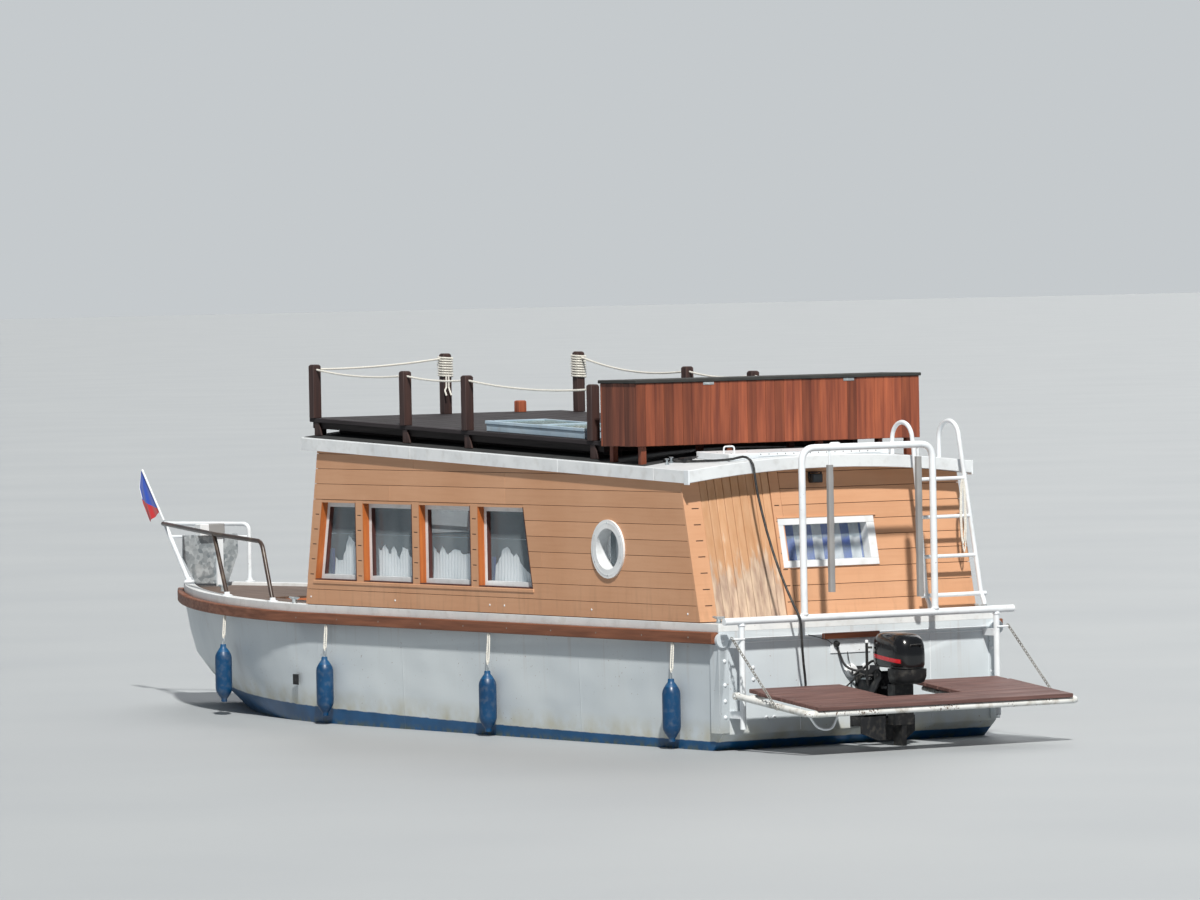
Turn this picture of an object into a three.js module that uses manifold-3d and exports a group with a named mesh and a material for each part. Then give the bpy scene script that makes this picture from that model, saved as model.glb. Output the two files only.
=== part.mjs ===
// Steel-hulled houseboat with a boarded timber cabin, a roof deck and an outboard motor.
// Millimetres, +X to the bow, +Y to port, +Z up; the origin is at the transom, on the centreline,
// at the waterline.
import * as THREE from 'three';
import { mergeVertices } from 'three/addons/utils/BufferGeometryUtils.js';
import Module from 'manifold-3d';

const wasm = await Module();
wasm.setup();

// Driving dimensions
const GAP = 0.3;
const WALL = 60;

const HULL = {
  half: 1215, sheerZ: 850, taperStart: 5800, stemX: 9580, fullness: 1.9, bowSteps: 12, liftPerMm: 0.0128,
  holdAft: 470, holdFront: 5370, holdHalf: 1130, floorZ: 0,
};
// Hull waterlines: height, half breadth, start of the bow taper, stem, stern
const HULL_LEVELS = [
  [-330, 1080, 4600, 6900, 520],
  [-220, 1160, 4900, 7800, 390],
  [-50, 1185, 5150, 8450, 200],
  [118, 1195, 5300, 8850, 0],
  [253, 1200, 5400, 9170, 0],
  [400, 1205, 5500, 9400, 0],
  [570, 1210, 5600, 9490, 0],
  [HULL.sheerZ, HULL.half, HULL.taperStart, HULL.stemX, 0],
  [HULL.sheerZ + 200, HULL.half, HULL.taperStart, HULL.stemX, 0],
];
const RIM = { thick: 55, ring: 100 };
const RUB = { out: 60, z0: 765, z1: 848 };
const RIM_TOP = HULL.sheerZ + GAP + RIM.thick;
const WELL = { x0: 5750, x1: 7250, half: 620, z0: 420, skin: 20 };
const FOREDECK = { thick: 30, x0: 5750 };

const CABIN = {
  half: 1200, baseZ: RIM_TOP + GAP, aftBaseX: 250, aftLean: 0.217, frontBaseX: 5640, frontLean: 0.176,
};
const ROOF = {
  x0: 300, x1: 5636, half: 1235, edgeTopZ: 1991, slope: 0.0366, camber: 78, thick: 90, steps: 12,
};
// Flat panel that lies on the roof's aft end
const ROOF_PANEL = { x0: 440, x1: 860, y0: -600, y1: 800, proud: 20 };
const SIDE_WINDOW = { z0: 1100, z1: 1700, recess: 40, frame: 42, glass: 6, liner: 12 };
// Side windows: aft edge at the sill and at the head, forward edge at the sill and at the head
const SIDE_WINDOWS = [
  [2425, 2542, 3168, 3168],
  [3270, 3270, 3990, 3990],
  [4090, 4090, 4795, 4795],
  [4897, 4897, 5505, 5385],
];
// Net curtain inside the side windows: its ends, and its foot and rod from the sill
const CURTAIN = { x0: 2440, x1: 5420, below: 30, rod: 345 };
const PORTHOLE = { x: 1400, z: 1411, outer: 213, hole: 185, inner: 150, proud: 28 };
const AFT_WINDOW = { y0: -390, y1: 440, z0: 1270, z1: 1620 };
const DOOR = {
  half: 330, z0: 960, z1: 1960, thick: 40, windowHalf: 190, windowZ0: 1420, windowZ1: 1820,
  clear: 6, clearTop: 13, pinR: 9, pinOut: 9.5, pinY: 327,
};

const SETTEE = { x0: 700, portX1: 3300, stbdX1: 2600, aftX1: 1100, aisle: 560, high: 420 };
const GALLEY = { x0: 3700, x1: 5200, aisle: 620, high: 880 };
const DECK = { x0: 1570, x1: 5650, half: 1150, topZ: 2128, thick: 30, beam: 50, post: 70 };
// The deck's beams along the boat and ties across it: half breadths and places
const BEAM = {
  half: 22, y: [-1100, -400, 400, 1100], tiesX: [1640, 3410, 4280, 5560], foot: 30, tieHalf: 1120,
};
// Deck posts: x, y, height above the deck
const DECK_POSTS = [
  [5590, 1130, 410], [4280, 1130, 410], [3410, 1130, 410], [1700, 1130, 410],
  [5590, -50, 470], [5360, -1130, 470], [3840, -1130, 410], [2950, -1130, 410], [1700, -1130, 410],
];
const STUB_POST = { x: 5570, y: -720, height: 90 };
const DECK_FEET_X = [1700, 3410, 4280, 5560];
// Rope from post to post: the collar of turns round each post, and the spans between them
const ROPE = { r: 8, collarIn: 35.4, collarOut: 51.5, turn: 16.5, drop: 37 };
// Rope collars: x, y, turns
const COLLARS = [
  [5590, 1130, 2], [4280, 1130, 2], [3410, 1130, 2], [1700, 1130, 3], [5590, -50, 8], [5360, -1130, 9],
  [3840, -1130, 2], [2950, -1130, 2], [1700, -1130, 3],
];
// Rope spans: from collar, to collar, the collar's side at each end, sag
const ROPE_SPANS = [
  [0, 1, 'port', 'port', 30], [1, 2, 'port', 'port', 20], [2, 3, 'port', 'port', 35],
  [0, 4, 'front', 'front', 20], [4, 5, 'stbd', 'front', 20],
  [5, 6, 'stbd', 'stbd', 60], [6, 7, 'stbd', 'stbd', 30], [7, 8, 'stbd', 'stbd', 40],
];
const COLLAR_SIDES = { port: [0, 1], stbd: [0, -1], front: [1, 0] };
const BAR = { x0: 955, x1: 1430, half: 1245, z0: 2155, z1: 2608, skin: 22, lid: 24, lidOver: 12, leg: 45 };
const SKYLIGHT = { x0: 1900, x1: 3230, y0: 560, y1: 1080, rim: 45, h: 55, lidOver: 8, lidTop: 79 };

const STERN = { railX: -140, railZ: 927, railHalf: 1262, tubeR: 26, postY: 1112, postFootZ: 160 };
const ARCH = { half: 570, topZ: 2135, bend: 110, tubeR: 25 };
// Hanging sleeves: y, top, bottom
const SLEEVES = [['sleeve_port', 332, 2010, 1104], ['sleeve_stbd', -440, 2049, 1043]];
const SLEEVE = { half: 23, stemR: 8 };
const LADDER = {
  r: 16, footX: 165, footZ: 1030, lean: 0.07, hookX: 505, hookZ: 2285, shoulderZ: 2110,
  rungs: [1870, 1595, 1310], rails: [{ topY: -675, spread: 0.035 }, { topY: -1090, spread: 0.104 }],
};
const PLATFORM = {
  hingeX: STERN.railX, hingeZ: 398, boardX: -170, x1: -1060, half: 1105, drop: 0.11, boards: 28,
  bearerX: -230, cornerX: -270, cornerHalf: 1083,
  tubeR: 24, sideY: 1165, notchY0: -350, notchY1: 300, notchX: -760, pinR: 7.5,
};
const CHAIN = {
  r: 9, y: 1205, topX: STERN.railX - 20, topZ: 800, footX: -690, links: 27, wire: 2.7, bendR: 5.5, nip: 0.6,
};
// Steel angles down the transom's corners, with a coupling ear at their head, and a wood pad between them
const CORNER = {
  y0: 1140, y1: 1225, thick: 10, back: 100, z0: 130, z1: 760, earY: 1200, earZ: 790, earR: 52, ear: 30,
};
const PAD = { y0: -160, y1: 326, z0: 762, z1: 805, thick: 30 };
const LAMP = { x0: 385, x1: 455, y: 130, z: 1915, r: 38 };
// Black hose from the roof, over its edge and the stern rail, into the transom
const HOSE_R = 9;
const HOSE_ROUTE = [
  [930, 1030, 2048.3], [800, 1010, 2045.6], [680, 965, 2045.8], [580, 915, 2048], [500, 868, 2050],
  [448, 832, 2053.5], [405, 790, 2060], [378, 760, 2069], [353.4, 742, 2075.1], [324.3, 727, 2070],
  [293.3, 715, 2050.2],
  [273.5, 708, 2019.2], [268.4, 704, 1990.1], [262, 699, 1920], [243, 695, 1820], [205, 690, 1700],
  [150, 685, 1550], [85, 678, 1400], [10, 670, 1250], [-65, 660, 1120], [-130, 650, 1015], [-165, 643, 965],
  [-183, 638, 925], [-185, 632, 880], [-172, 620, 800], [-150, 600, 700], [-125, 575, 600], [-102, 550, 520],
  [-80, 530, 460], [-66, 520, 425], [-45, 513, 400], [-18, 510, 388], [-1, 510, 386],
];
const MOTOR = {
  y: -60, pivotX: -260, pivotZ: 500, steerX: -330, cowlZ0: 440, propX: -440, propZ: -360, propR: 130,
  plateZ: -190,
};
// Dark plate below the motor's bracket, on two struts
const SHROUD = {
  outline: [[-235, 205], [-235, 90], [-150, 32], [80, 32], [235, 90], [235, 205]], x0: -255, x1: -243,
  struts: [-150, 136],
};
// Motor's pan and cowl: aft end, forward end, half breadth, height
const PAN_LEVELS = [[-575, -400, 100, 440], [-600, -396, 122, 470], [-606, -394, 128, 566]];
const COWL_LEVELS = [
  [-606, -200, 124, 562], [-613, -192, 131.5, 585], [-613, -192, 131.5, 660], [-606, -197, 129, 720],
  [-590, -210, 121, 765], [-563, -235, 106, 790], [-520, -275, 82, 802], [-460, -330, 45, 808],
];

const FENDER = { r: 66, length: 450, ropeR: 8, out: 66, ropeOut: 46 };
// Fenders: name, x, side, height of the middle
const FENDERS = [
  ['fender_port_1', 520, 1, 281], ['fender_port_2', 2965, 1, 260], ['fender_port_3', 5280, 1, 294],
  ['fender_port_4', 7045, 1, 332], ['fender_stbd_1', 520, -1, 281], ['fender_stbd_2', 5280, -1, 294],
];
const PULPIT = { r: 17, topZ: 1415, bowX: 9900, bend: 70, lowZ: 1310, lowR: 12 };
// Six-sided plate on a post at the bow
const SHIELD = {
  x: 9000, postTop: 1395,
  outline: [[-300, 1345], [-300, 1170], [-150, 985], [150, 985], [300, 1170], [300, 1345]],
};
const STAFF = { r: 9, from: [9885, 0, 1439], to: [10222, 0, 1850] };
// Flag outline: x and z
const FLAG_OUTLINE = [[9970, 1527], [10070, 1420], [10165, 1420], [10255, 1600], [10284, 1785], [10225, 1837]];

// Solids
function solid(geometry) {
  const bare = geometry.clone();
  bare.deleteAttribute('normal');
  bare.deleteAttribute('uv');
  const merged = mergeVertices(bare, 1e-3);
  const vertProperties = new Float32Array(merged.attributes.position.array);
  const triVerts = new Uint32Array(merged.index.array);
  return new wasm.Manifold(new wasm.Mesh({ numProp: 3, vertProperties, triVerts }));
}

function box(x0, x1, y0, y1, z0, z1) {
  const geometry = new THREE.BoxGeometry(x1 - x0, y1 - y0, z1 - z0);
  geometry.translate((x0 + x1) / 2, (y0 + y1) / 2, (z0 + z1) / 2);
  return solid(geometry);
}

function cylinder(radius, from, to, sides = 12, radiusEnd = radius) {
  const a = new THREE.Vector3(...from);
  const b = new THREE.Vector3(...to);
  const axis = b.clone().sub(a);
  const geometry = new THREE.CylinderGeometry(radiusEnd, radius, axis.length(), sides);
  const up = new THREE.Vector3(0, 1, 0);
  geometry.applyQuaternion(new THREE.Quaternion().setFromUnitVectors(up, axis.clone().normalize()));
  geometry.translate((a.x + b.x) / 2, (a.y + b.y) / 2, (a.z + b.z) / 2);
  return solid(geometry);
}

function union(parts) {
  return parts.reduce((sum, part) => sum.add(part));
}

function minus(body, cutters) {
  return cutters.reduce((left, cutter) => left.subtract(cutter), body);
}

// A plate drawn in X and Z and extruded along Y
function plateXZ(points, y0, y1) {
  const shape = new THREE.Shape(points.map(([x, z]) => new THREE.Vector2(x, z)));
  const geometry = new THREE.ExtrudeGeometry(shape, { depth: y1 - y0, bevelEnabled: false });
  geometry.rotateX(Math.PI / 2);
  geometry.translate(0, y1, 0);
  return solid(geometry);
}

// A plate drawn in Y and Z and extruded along X
function plateYZ(points, x0, x1) {
  const shape = new THREE.Shape(points.map(([y, z]) => new THREE.Vector2(y, z)));
  const geometry = new THREE.ExtrudeGeometry(shape, { depth: x1 - x0, bevelEnabled: false });
  geometry.applyMatrix4(new THREE.Matrix4().makeBasis(
    new THREE.Vector3(0, 1, 0), new THREE.Vector3(0, 0, 1), new THREE.Vector3(1, 0, 0),
  ));
  geometry.translate(x0, 0, 0);
  return solid(geometry);
}

// A plate drawn in X and Y and extruded along Z
function plateXY(points, z0, z1) {
  const shape = new THREE.Shape(points.map(([x, y]) => new THREE.Vector2(x, y)));
  const geometry = new THREE.ExtrudeGeometry(shape, { depth: z1 - z0, bevelEnabled: false });
  geometry.translate(0, 0, z0);
  return solid(geometry);
}

// A route whose samples fall on its own points, so that straight runs cost one step
class Route extends THREE.Curve {
  constructor(points) {
    super();
    this.points = points;
  }

  getPoint(t) {
    const place = t * (this.points.length - 1);
    const index = Math.min(Math.floor(place + 1e-9), this.points.length - 2);
    return this.points[index].clone().lerp(this.points[index + 1], place - index);
  }

  getPointAt(u) {
    return this.getPoint(u);
  }

  getTangentAt(u) {
    const index = Math.round(u * (this.points.length - 1));
    const before = this.points[Math.max(index - 1, 0)];
    const here = this.points[index];
    const after = this.points[Math.min(index + 1, this.points.length - 1)];
    const into = here.clone().sub(before).normalize();
    const out = after.clone().sub(here).normalize();
    return into.add(out).normalize();
  }
}

// Corner points of a route rounded with arcs of the given bend radius
function rounded(corners, bend, steps = 4) {
  const points = corners.map((corner) => new THREE.Vector3(...corner));
  const route = [points[0]];
  for (let i = 1; i < points.length - 1; i += 1) {
    const toBefore = points[i - 1].clone().sub(points[i]);
    const toAfter = points[i + 1].clone().sub(points[i]);
    const reach = Math.min(bend, toBefore.length() * 0.49, toAfter.length() * 0.49);
    const start = points[i].clone().add(toBefore.setLength(reach));
    const end = points[i].clone().add(toAfter.setLength(reach));
    const curve = new THREE.QuadraticBezierCurve3(start, points[i], end);
    route.push(...curve.getPoints(steps));
  }
  route.push(points[points.length - 1]);
  return route;
}

function tubeAlong(route, radius, sides = 10) {
  const section = new THREE.Shape();
  for (let i = 0; i < sides; i += 1) {
    const angle = (i * 2 * Math.PI) / sides;
    const point = [radius * Math.cos(angle), radius * Math.sin(angle)];
    if (i === 0) section.moveTo(...point);
    else section.lineTo(...point);
  }
  section.closePath();
  const path = new Route(route);
  const settings = { steps: route.length - 1, bevelEnabled: false, extrudePath: path };
  return solid(new THREE.ExtrudeGeometry(section, settings));
}

function bentTube(corners, radius, bend = 60, sides = 10) {
  return tubeAlong(rounded(corners, bend), radius, sides);
}

// A closed ring of wire through the given points, with its axis the same all round
function wireRing(points, axis, radius, sides = 4) {
  const count = points.length;
  const positions = [];
  const indices = [];
  points.forEach((point, i) => {
    const ahead = points[(i + 1) % count].clone().sub(points[(i + count - 1) % count]).normalize();
    const out = ahead.clone().cross(axis).normalize();
    for (let k = 0; k < sides; k += 1) {
      const angle = (k * 2 * Math.PI) / sides;
      const spot = point.clone().addScaledVector(out, radius * Math.cos(angle))
        .addScaledVector(axis, radius * Math.sin(angle));
      positions.push(spot.x, spot.y, spot.z);
      const a = i * sides + k;
      const b = i * sides + ((k + 1) % sides);
      const c = ((i + 1) % count) * sides + ((k + 1) % sides);
      const d = ((i + 1) % count) * sides + k;
      indices.push(a, c, b, a, d, c);
    }
  });
  const geometry = new THREE.BufferGeometry();
  geometry.setAttribute('position', new THREE.BufferAttribute(new Float32Array(positions), 3));
  geometry.setIndex(indices);
  return solid(geometry);
}

// Rings of equal point counts joined into one closed skin
function loft(rings) {
  const count = rings[0].length;
  const positions = rings.flat(2);
  const indices = [];
  for (let ring = 0; ring < rings.length - 1; ring += 1) {
    for (let i = 0; i < count; i += 1) {
      const next = (i + 1) % count;
      const a = ring * count + i;
      const b = ring * count + next;
      indices.push(a, b, b + count, a, b + count, a + count);
    }
  }
  const outline = rings[0].map(([x, y]) => new THREE.Vector2(x, y));
  const last = (rings.length - 1) * count;
  THREE.ShapeUtils.triangulateShape(outline, []).forEach(([a, b, c]) => {
    indices.push(c, b, a);
  });
  const top = rings[rings.length - 1].map(([x, y]) => new THREE.Vector2(x, y));
  THREE.ShapeUtils.triangulateShape(top, []).forEach(([a, b, c]) => {
    indices.push(last + a, last + b, last + c);
  });
  const geometry = new THREE.BufferGeometry();
  geometry.setAttribute('position', new THREE.BufferAttribute(new Float32Array(positions), 3));
  geometry.setIndex(indices);
  return solid(geometry);
}

// The mesh of a solid, with its colour and finish
const houseboat = new THREE.Group();

const FINISH = {
  white_paint: ['#dfe3e4', 0.45, 0],
  rub_brown: ['#70462c', 0.6, 0],
  siding: ['#cf9f74', 0.75, 0],
  deck_brown: ['#46332f', 0.7, 0],
  deck_grey_brown: ['#7d6a5c', 0.75, 0],
  orange_wood: ['#b8743f', 0.6, 0],
  roof_white: ['#d9dcdd', 0.5, 0],
  frame_white: ['#eceeee', 0.4, 0],
  glass: ['#3c4a4c', 0.1, 0],
  curtain: ['#eeeeea', 0.95, 0],
  bar_wood: ['#82422d', 0.65, 0],
  lid_grey: ['#4f5355', 0.7, 0],
  rope: ['#cdc9bd', 0.95, 0],
  sleeve_grey: ['#8f9291', 0.7, 0],
  board_brown: ['#6d4d45', 0.75, 0],
  chain_steel: ['#9a9a96', 0.5, 0.9],
  motor_black: ['#15171a', 0.35, 0],
  motor_grey: ['#3a3d40', 0.5, 0.3],
  fender_blue: ['#1e5388', 0.45, 0],
  galvanised: ['#a3a9ac', 0.5, 0.6],
  flag_cloth: ['#c8cdd6', 0.9, 0],
  hose_black: ['#1b1b1d', 0.6, 0],
  upholstery: ['#4a5d73', 0.9, 0],
};

function addNode(name, body, finish) {
  const mesh = body.getMesh();
  const geometry = new THREE.BufferGeometry();
  geometry.setAttribute('position', new THREE.BufferAttribute(new Float32Array(mesh.vertProperties), 3));
  geometry.setIndex(new THREE.BufferAttribute(new Uint32Array(mesh.triVerts), 1));
  geometry.computeVertexNormals();
  const [color, roughness, metalness] = FINISH[finish];
  const node = new THREE.Mesh(geometry, new THREE.MeshStandardMaterial({ color, roughness, metalness }));
  node.name = name;
  houseboat.add(node);
}

// Hull
function outlineAt(half, taperStart, stemX, sternX, inset = 0) {
  const port = [[sternX + inset, half - inset]];
  const span = stemX - taperStart;
  for (let i = 0; i < HULL.bowSteps; i += 1) {
    const u = i / HULL.bowSteps;
    port.push([taperStart + span * u, half * (1 - u ** HULL.fullness) - inset]);
  }
  const inside = port.filter(([, y]) => y > 5);
  const tip = [stemX - inset * 1.6, 0];
  const starboard = inside.map(([x, y]) => [x, -y]);
  return [...starboard, tip, ...inside.reverse()];
}

function lift(x) {
  return Math.max(0, x - HULL.taperStart) * HULL.liftPerMm;
}

function lifted(body) {
  return body.warp((vertex) => {
    vertex[2] += lift(vertex[0]);
  });
}

function planOutline(inset) {
  return outlineAt(HULL.half, HULL.taperStart, HULL.stemX, 0, inset);
}

// A flat piece of the plan, split where the sheer begins to rise, so that the rise keeps it plane
function deckPiece(points, z0, z1, cutters = []) {
  const flat = minus(plateXY(points, z0, z1), cutters);
  const aft = flat.intersect(box(-3000, HULL.taperStart, -2000, 2000, -2000, 3000));
  const fore = flat.intersect(box(HULL.taperStart, 12000, -2000, 2000, -2000, 3000));
  return aft.add(lifted(fore));
}

// All that lies below a level of the deck, with its rise to the bow
function belowDeck(level) {
  const aft = box(-1000, HULL.taperStart, -2000, 2000, -1000, level);
  return aft.add(lifted(box(HULL.taperStart, 12000, -2000, 2000, -1000, level)));
}

function buildHull() {
  const rings = HULL_LEVELS.map(([z, half, taperStart, stemX, sternX]) => (
    outlineAt(half, taperStart, stemX, sternX).map(([x, y]) => [x, y, z])
  ));
  const above = [
    box(-1000, HULL.taperStart, -2000, 2000, HULL.sheerZ, 2000),
    lifted(box(HULL.taperStart, 12000, -2000, 2000, HULL.sheerZ, 2000)),
  ];
  const outer = minus(loft(rings), above);
  const hold = box(HULL.holdAft, HULL.holdFront, -HULL.holdHalf, HULL.holdHalf, HULL.floorZ, 2000);
  const well = box(WELL.x0, WELL.x1, -WELL.half, WELL.half, WELL.z0, 2000);
  addNode('hull', union([minus(outer, [hold, well]), ...transomFittings()]), 'white_paint');
}

function transomFittings() {
  const c = CORNER;
  const fittings = [box(-PAD.thick, 2, PAD.y0, PAD.y1, PAD.z0, PAD.z1)];
  [-1, 1].forEach((side) => {
    const across = (near, far) => (side > 0 ? [near, far] : [-far, -near]);
    fittings.push(box(-c.thick, 2, ...across(c.y0, c.y1), c.z0, c.z1));
    fittings.push(box(-c.thick, c.back, ...across(HULL.half - 25, c.y1), c.z0, c.z1));
    fittings.push(cylinder(c.earR, [-c.ear, side * c.earY, c.earZ], [-GAP, side * c.earY, c.earZ], 20));
    fittings.push(box(-c.thick, 2, ...across(c.y0 + 20, c.earY), c.earZ - 40, c.earZ + 40));
  });
  return fittings;
}

function buildRim() {
  const z0 = HULL.sheerZ + GAP;
  const hold = box(HULL.holdAft, HULL.holdFront, -HULL.holdHalf, HULL.holdHalf, 0, 2000);
  const innerOutline = plateXY(planOutline(RIM.ring), 0, 2000);
  const foreInner = innerOutline.intersect(box(FOREDECK.x0, 12000, -2000, 2000, 0, 2000));
  addNode('side_deck', deckPiece(planOutline(0), z0, z0 + RIM.thick, [hold, foreInner]), 'white_paint');

  const deckOutline = planOutline(RIM.ring + GAP);
  const behind = box(-1000, FOREDECK.x0 + GAP, -2000, 2000, 0, 2000);
  const wellHole = box(WELL.x0 - 10, WELL.x1, -WELL.half, WELL.half, 0, 2000);
  const foredeck = deckPiece(deckOutline, z0, z0 + FOREDECK.thick, [behind, wellHole]);
  addNode('foredeck', foredeck, 'deck_grey_brown');

  const s = WELL.skin;
  const top = z0 + FOREDECK.thick;
  const outer = box(WELL.x0 + GAP, WELL.x1 - GAP, -WELL.half + GAP, WELL.half - GAP, WELL.z0 + GAP, top);
  const inner = box(WELL.x0 + s, WELL.x1 - s, -WELL.half + s, WELL.half - s, WELL.z0 + s, 2000);
  addNode('bow_well', outer.subtract(inner), 'orange_wood');
}

function buildRubRail() {
  const outer = planOutline(-RUB.out);
  const inner = plateXY(planOutline(-GAP), 0, 2000);
  const aftCut = box(-500, 0, -2000, 2000, 0, 2000);
  addNode('rub_rail', deckPiece(outer, RUB.z0, RUB.z1, [inner, aftCut]), 'rub_brown');
}

// Roof
function roofSection(extraTop = 0, depth = ROOF.thick) {
  const top = [];
  const bottom = [];
  for (let i = 0; i <= ROOF.steps; i += 1) {
    const y = -ROOF.half + (2 * ROOF.half * i) / ROOF.steps;
    const z = ROOF.edgeTopZ + ROOF.camber * (1 - (y / ROOF.half) ** 2);
    top.push([y, z + extraTop]);
    bottom.push([y, z - depth]);
  }
  return [...bottom, ...top.reverse()];
}

function sloped(body) {
  return body.warp((vertex) => {
    vertex[2] += ROOF.slope * (vertex[0] - ROOF.x0);
  });
}

function roofTopAt(x, y) {
  return ROOF.edgeTopZ + ROOF.camber * (1 - (y / ROOF.half) ** 2) + ROOF.slope * (x - ROOF.x0);
}

const roofBody = sloped(plateYZ(roofSection(), ROOF.x0, ROOF.x1));
const underRoof = sloped(plateYZ(roofSection(2000), ROOF.x0 - 500, ROOF.x1 + 500)).translate([0, 0, -GAP]);
const roofSkin = sloped(plateYZ(roofSection(GAP), ROOF.x0 - GAP, ROOF.x1));
// All that lies below the top face of the roof, for what stands on it
const belowRoofTop = sloped(plateYZ(roofSection(GAP, 500), ROOF.x0 - 500, ROOF.x1 + 500));

function buildRoof() {
  addNode('roof', roofBody, 'roof_white');
  const p = ROOF_PANEL;
  const crown = ROOF.edgeTopZ + ROOF.camber;
  const panel = box(p.x0, p.x1, p.y0, p.y1, ROOF.edgeTopZ - 200, crown + p.proud);
  addNode('roof_panel', sloped(panel).subtract(belowRoofTop), 'roof_white');
}

// Cabin walls
function aftPlaneX(z) {
  return CABIN.aftBaseX + (z - CABIN.baseZ) * CABIN.aftLean;
}

function frontPlaneX(z) {
  return CABIN.frontBaseX - (z - CABIN.baseZ) * CABIN.frontLean;
}

// The volume between two planes that lean with the aft or the front wall
function leaning(planeX, from, to, half = 3000, z0 = CABIN.baseZ, z1 = 2400) {
  const outline = [
    [planeX(z0) + from, z0], [planeX(z0) + to, z0], [planeX(z1) + to, z1], [planeX(z1) + from, z1],
  ];
  return plateXZ(outline, -half, half);
}

function windowHole([aftSill, aftHead, foreSill, foreHead], grow = 0) {
  const { z0, z1 } = SIDE_WINDOW;
  const share = grow / (z1 - z0);
  const aftSkew = (aftHead - aftSill) * share;
  const foreSkew = (foreHead - foreSill) * share;
  return [
    [aftSill - grow - aftSkew, z0 - grow], [foreSill + grow - foreSkew, z0 - grow],
    [foreHead + grow + foreSkew, z1 + grow], [aftHead - grow + aftSkew, z1 + grow],
  ];
}

function buildSide(name, side) {
  const outside = CABIN.half;
  const inside = CABIN.half - WALL;
  const across = (near, far) => (side > 0 ? [near, far] : [-far, -near]);
  const outline = [
    [aftPlaneX(CABIN.baseZ) + WALL + GAP, CABIN.baseZ],
    [frontPlaneX(CABIN.baseZ) - WALL - GAP, CABIN.baseZ],
    [frontPlaneX(2400) - WALL - GAP, 2400],
    [aftPlaneX(2400) + WALL + GAP, 2400],
  ];
  const holes = SIDE_WINDOWS.map((window) => plateXZ(windowHole(window), ...across(0, 3000)));
  const porthole = cylinder(PORTHOLE.hole, [PORTHOLE.x, 0, PORTHOLE.z], [PORTHOLE.x, side * 3000, PORTHOLE.z], 28);
  const wall = plateXZ(outline, ...across(inside, outside));
  addNode(`wall_${name}`, minus(wall, [underRoof, porthole, ...holes]), 'siding');

  const w = SIDE_WINDOW;
  const linerY = inside - GAP - w.liner;
  const [aftSill, aftHead] = SIDE_WINDOWS[0];
  const [foreSill, foreHead] = [5440, 5340];
  const row = windowHole([aftSill, aftHead, foreSill, foreHead], 45);
  const liner = plateXZ(row, ...across(linerY, inside - GAP));
  const bridge = box(1150, 2500, ...across(linerY, inside - GAP), PORTHOLE.z - 90, PORTHOLE.z + 90);
  const boss = cylinder(
    PORTHOLE.hole - GAP, [PORTHOLE.x, side * linerY, PORTHOLE.z],
    [PORTHOLE.x, side * (outside + GAP), PORTHOLE.z], 28,
  );
  const ring = cylinder(
    PORTHOLE.outer, [PORTHOLE.x, side * (outside + GAP), PORTHOLE.z],
    [PORTHOLE.x, side * (outside + PORTHOLE.proud), PORTHOLE.z], 28,
  );
  const frames = SIDE_WINDOWS.map((window) => (
    plateXZ(windowHole(window, -GAP), ...across(linerY, outside - w.recess))
  ));
  const lights = SIDE_WINDOWS.map((window) => plateXZ(windowHole(window, -w.frame), ...across(0, 3000)));
  const eye = cylinder(PORTHOLE.inner, [PORTHOLE.x, 0, PORTHOLE.z], [PORTHOLE.x, side * 3000, PORTHOLE.z], 28);
  const frameBody = minus(union([liner, bridge, boss, ring, ...frames]), [eye, ...lights]);
  addNode(`window_frames_${name}`, frameBody, 'frame_white');

  const glassY = linerY - GAP - w.glass;
  const pane = plateXZ(windowHole([aftSill, aftHead, foreSill, foreHead], 20), ...across(glassY, linerY - GAP));
  const strip = box(1200, 2520, ...across(glassY, linerY - GAP), PORTHOLE.z - 160, PORTHOLE.z + 160);
  addNode(`glass_${name}`, pane.add(strip), 'glass');

  const c = CURTAIN;
  const curtain = box(c.x0, c.x1, ...across(glassY - 60, glassY - 30), w.z0 - c.below, w.z0 + c.rod);
  const rod = box(c.x0 - 40, c.x1 + 20, ...across(glassY - 54, glassY - 36), w.z0 + c.rod, w.z0 + c.rod + 12);
  const hooks = [c.x0 + 20, c.x1 - 30].map((x) => (
    box(x, x + 15, ...across(glassY - 54, glassY - GAP), w.z0 + c.rod, w.z0 + c.rod + 12)
  ));
  addNode(`curtain_${name}`, union([curtain, rod, ...hooks]), 'curtain');
}

function buildAftWall() {
  const a = AFT_WINDOW;
  const wall = leaning(aftPlaneX, 0, WALL, CABIN.half);
  const hole = box(0, 1000, a.y0, a.y1, a.z0, a.z1);
  addNode('wall_aft', minus(wall, [underRoof, hole]), 'siding');

  const proud = 14;
  const f = 44;
  const flange = leaning(aftPlaneX, -proud, -GAP).intersect(box(0, 1000, a.y0 - 20, a.y1 + 20, a.z0 - 20, a.z1 + 20));
  const sleeve = leaning(aftPlaneX, -1, WALL).intersect(
    box(0, 1000, a.y0 + GAP, a.y1 - GAP, a.z0 + GAP, a.z1 - GAP),
  );
  const light = box(0, 1000, a.y0 + f, a.y1 - f, a.z0 + f, a.z1 - f);
  addNode('window_frame_aft', flange.add(sleeve).subtract(light), 'frame_white');
  const pane = leaning(aftPlaneX, WALL + GAP, WALL + GAP + 6).intersect(
    box(0, 1000, a.y0 + 10, a.y1 - 10, a.z0 + 10, a.z1 - 10),
  );
  addNode('glass_aft', pane, 'glass');
  const curtain = leaning(aftPlaneX, WALL + 7, WALL + 37).intersect(
    box(0, 1000, a.y0 - 30, a.y1 + 30, a.z0 - 20, a.z1 + 30),
  );
  addNode('curtain_aft', curtain.translate([GAP, 0, 0]), 'curtain');
}

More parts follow.
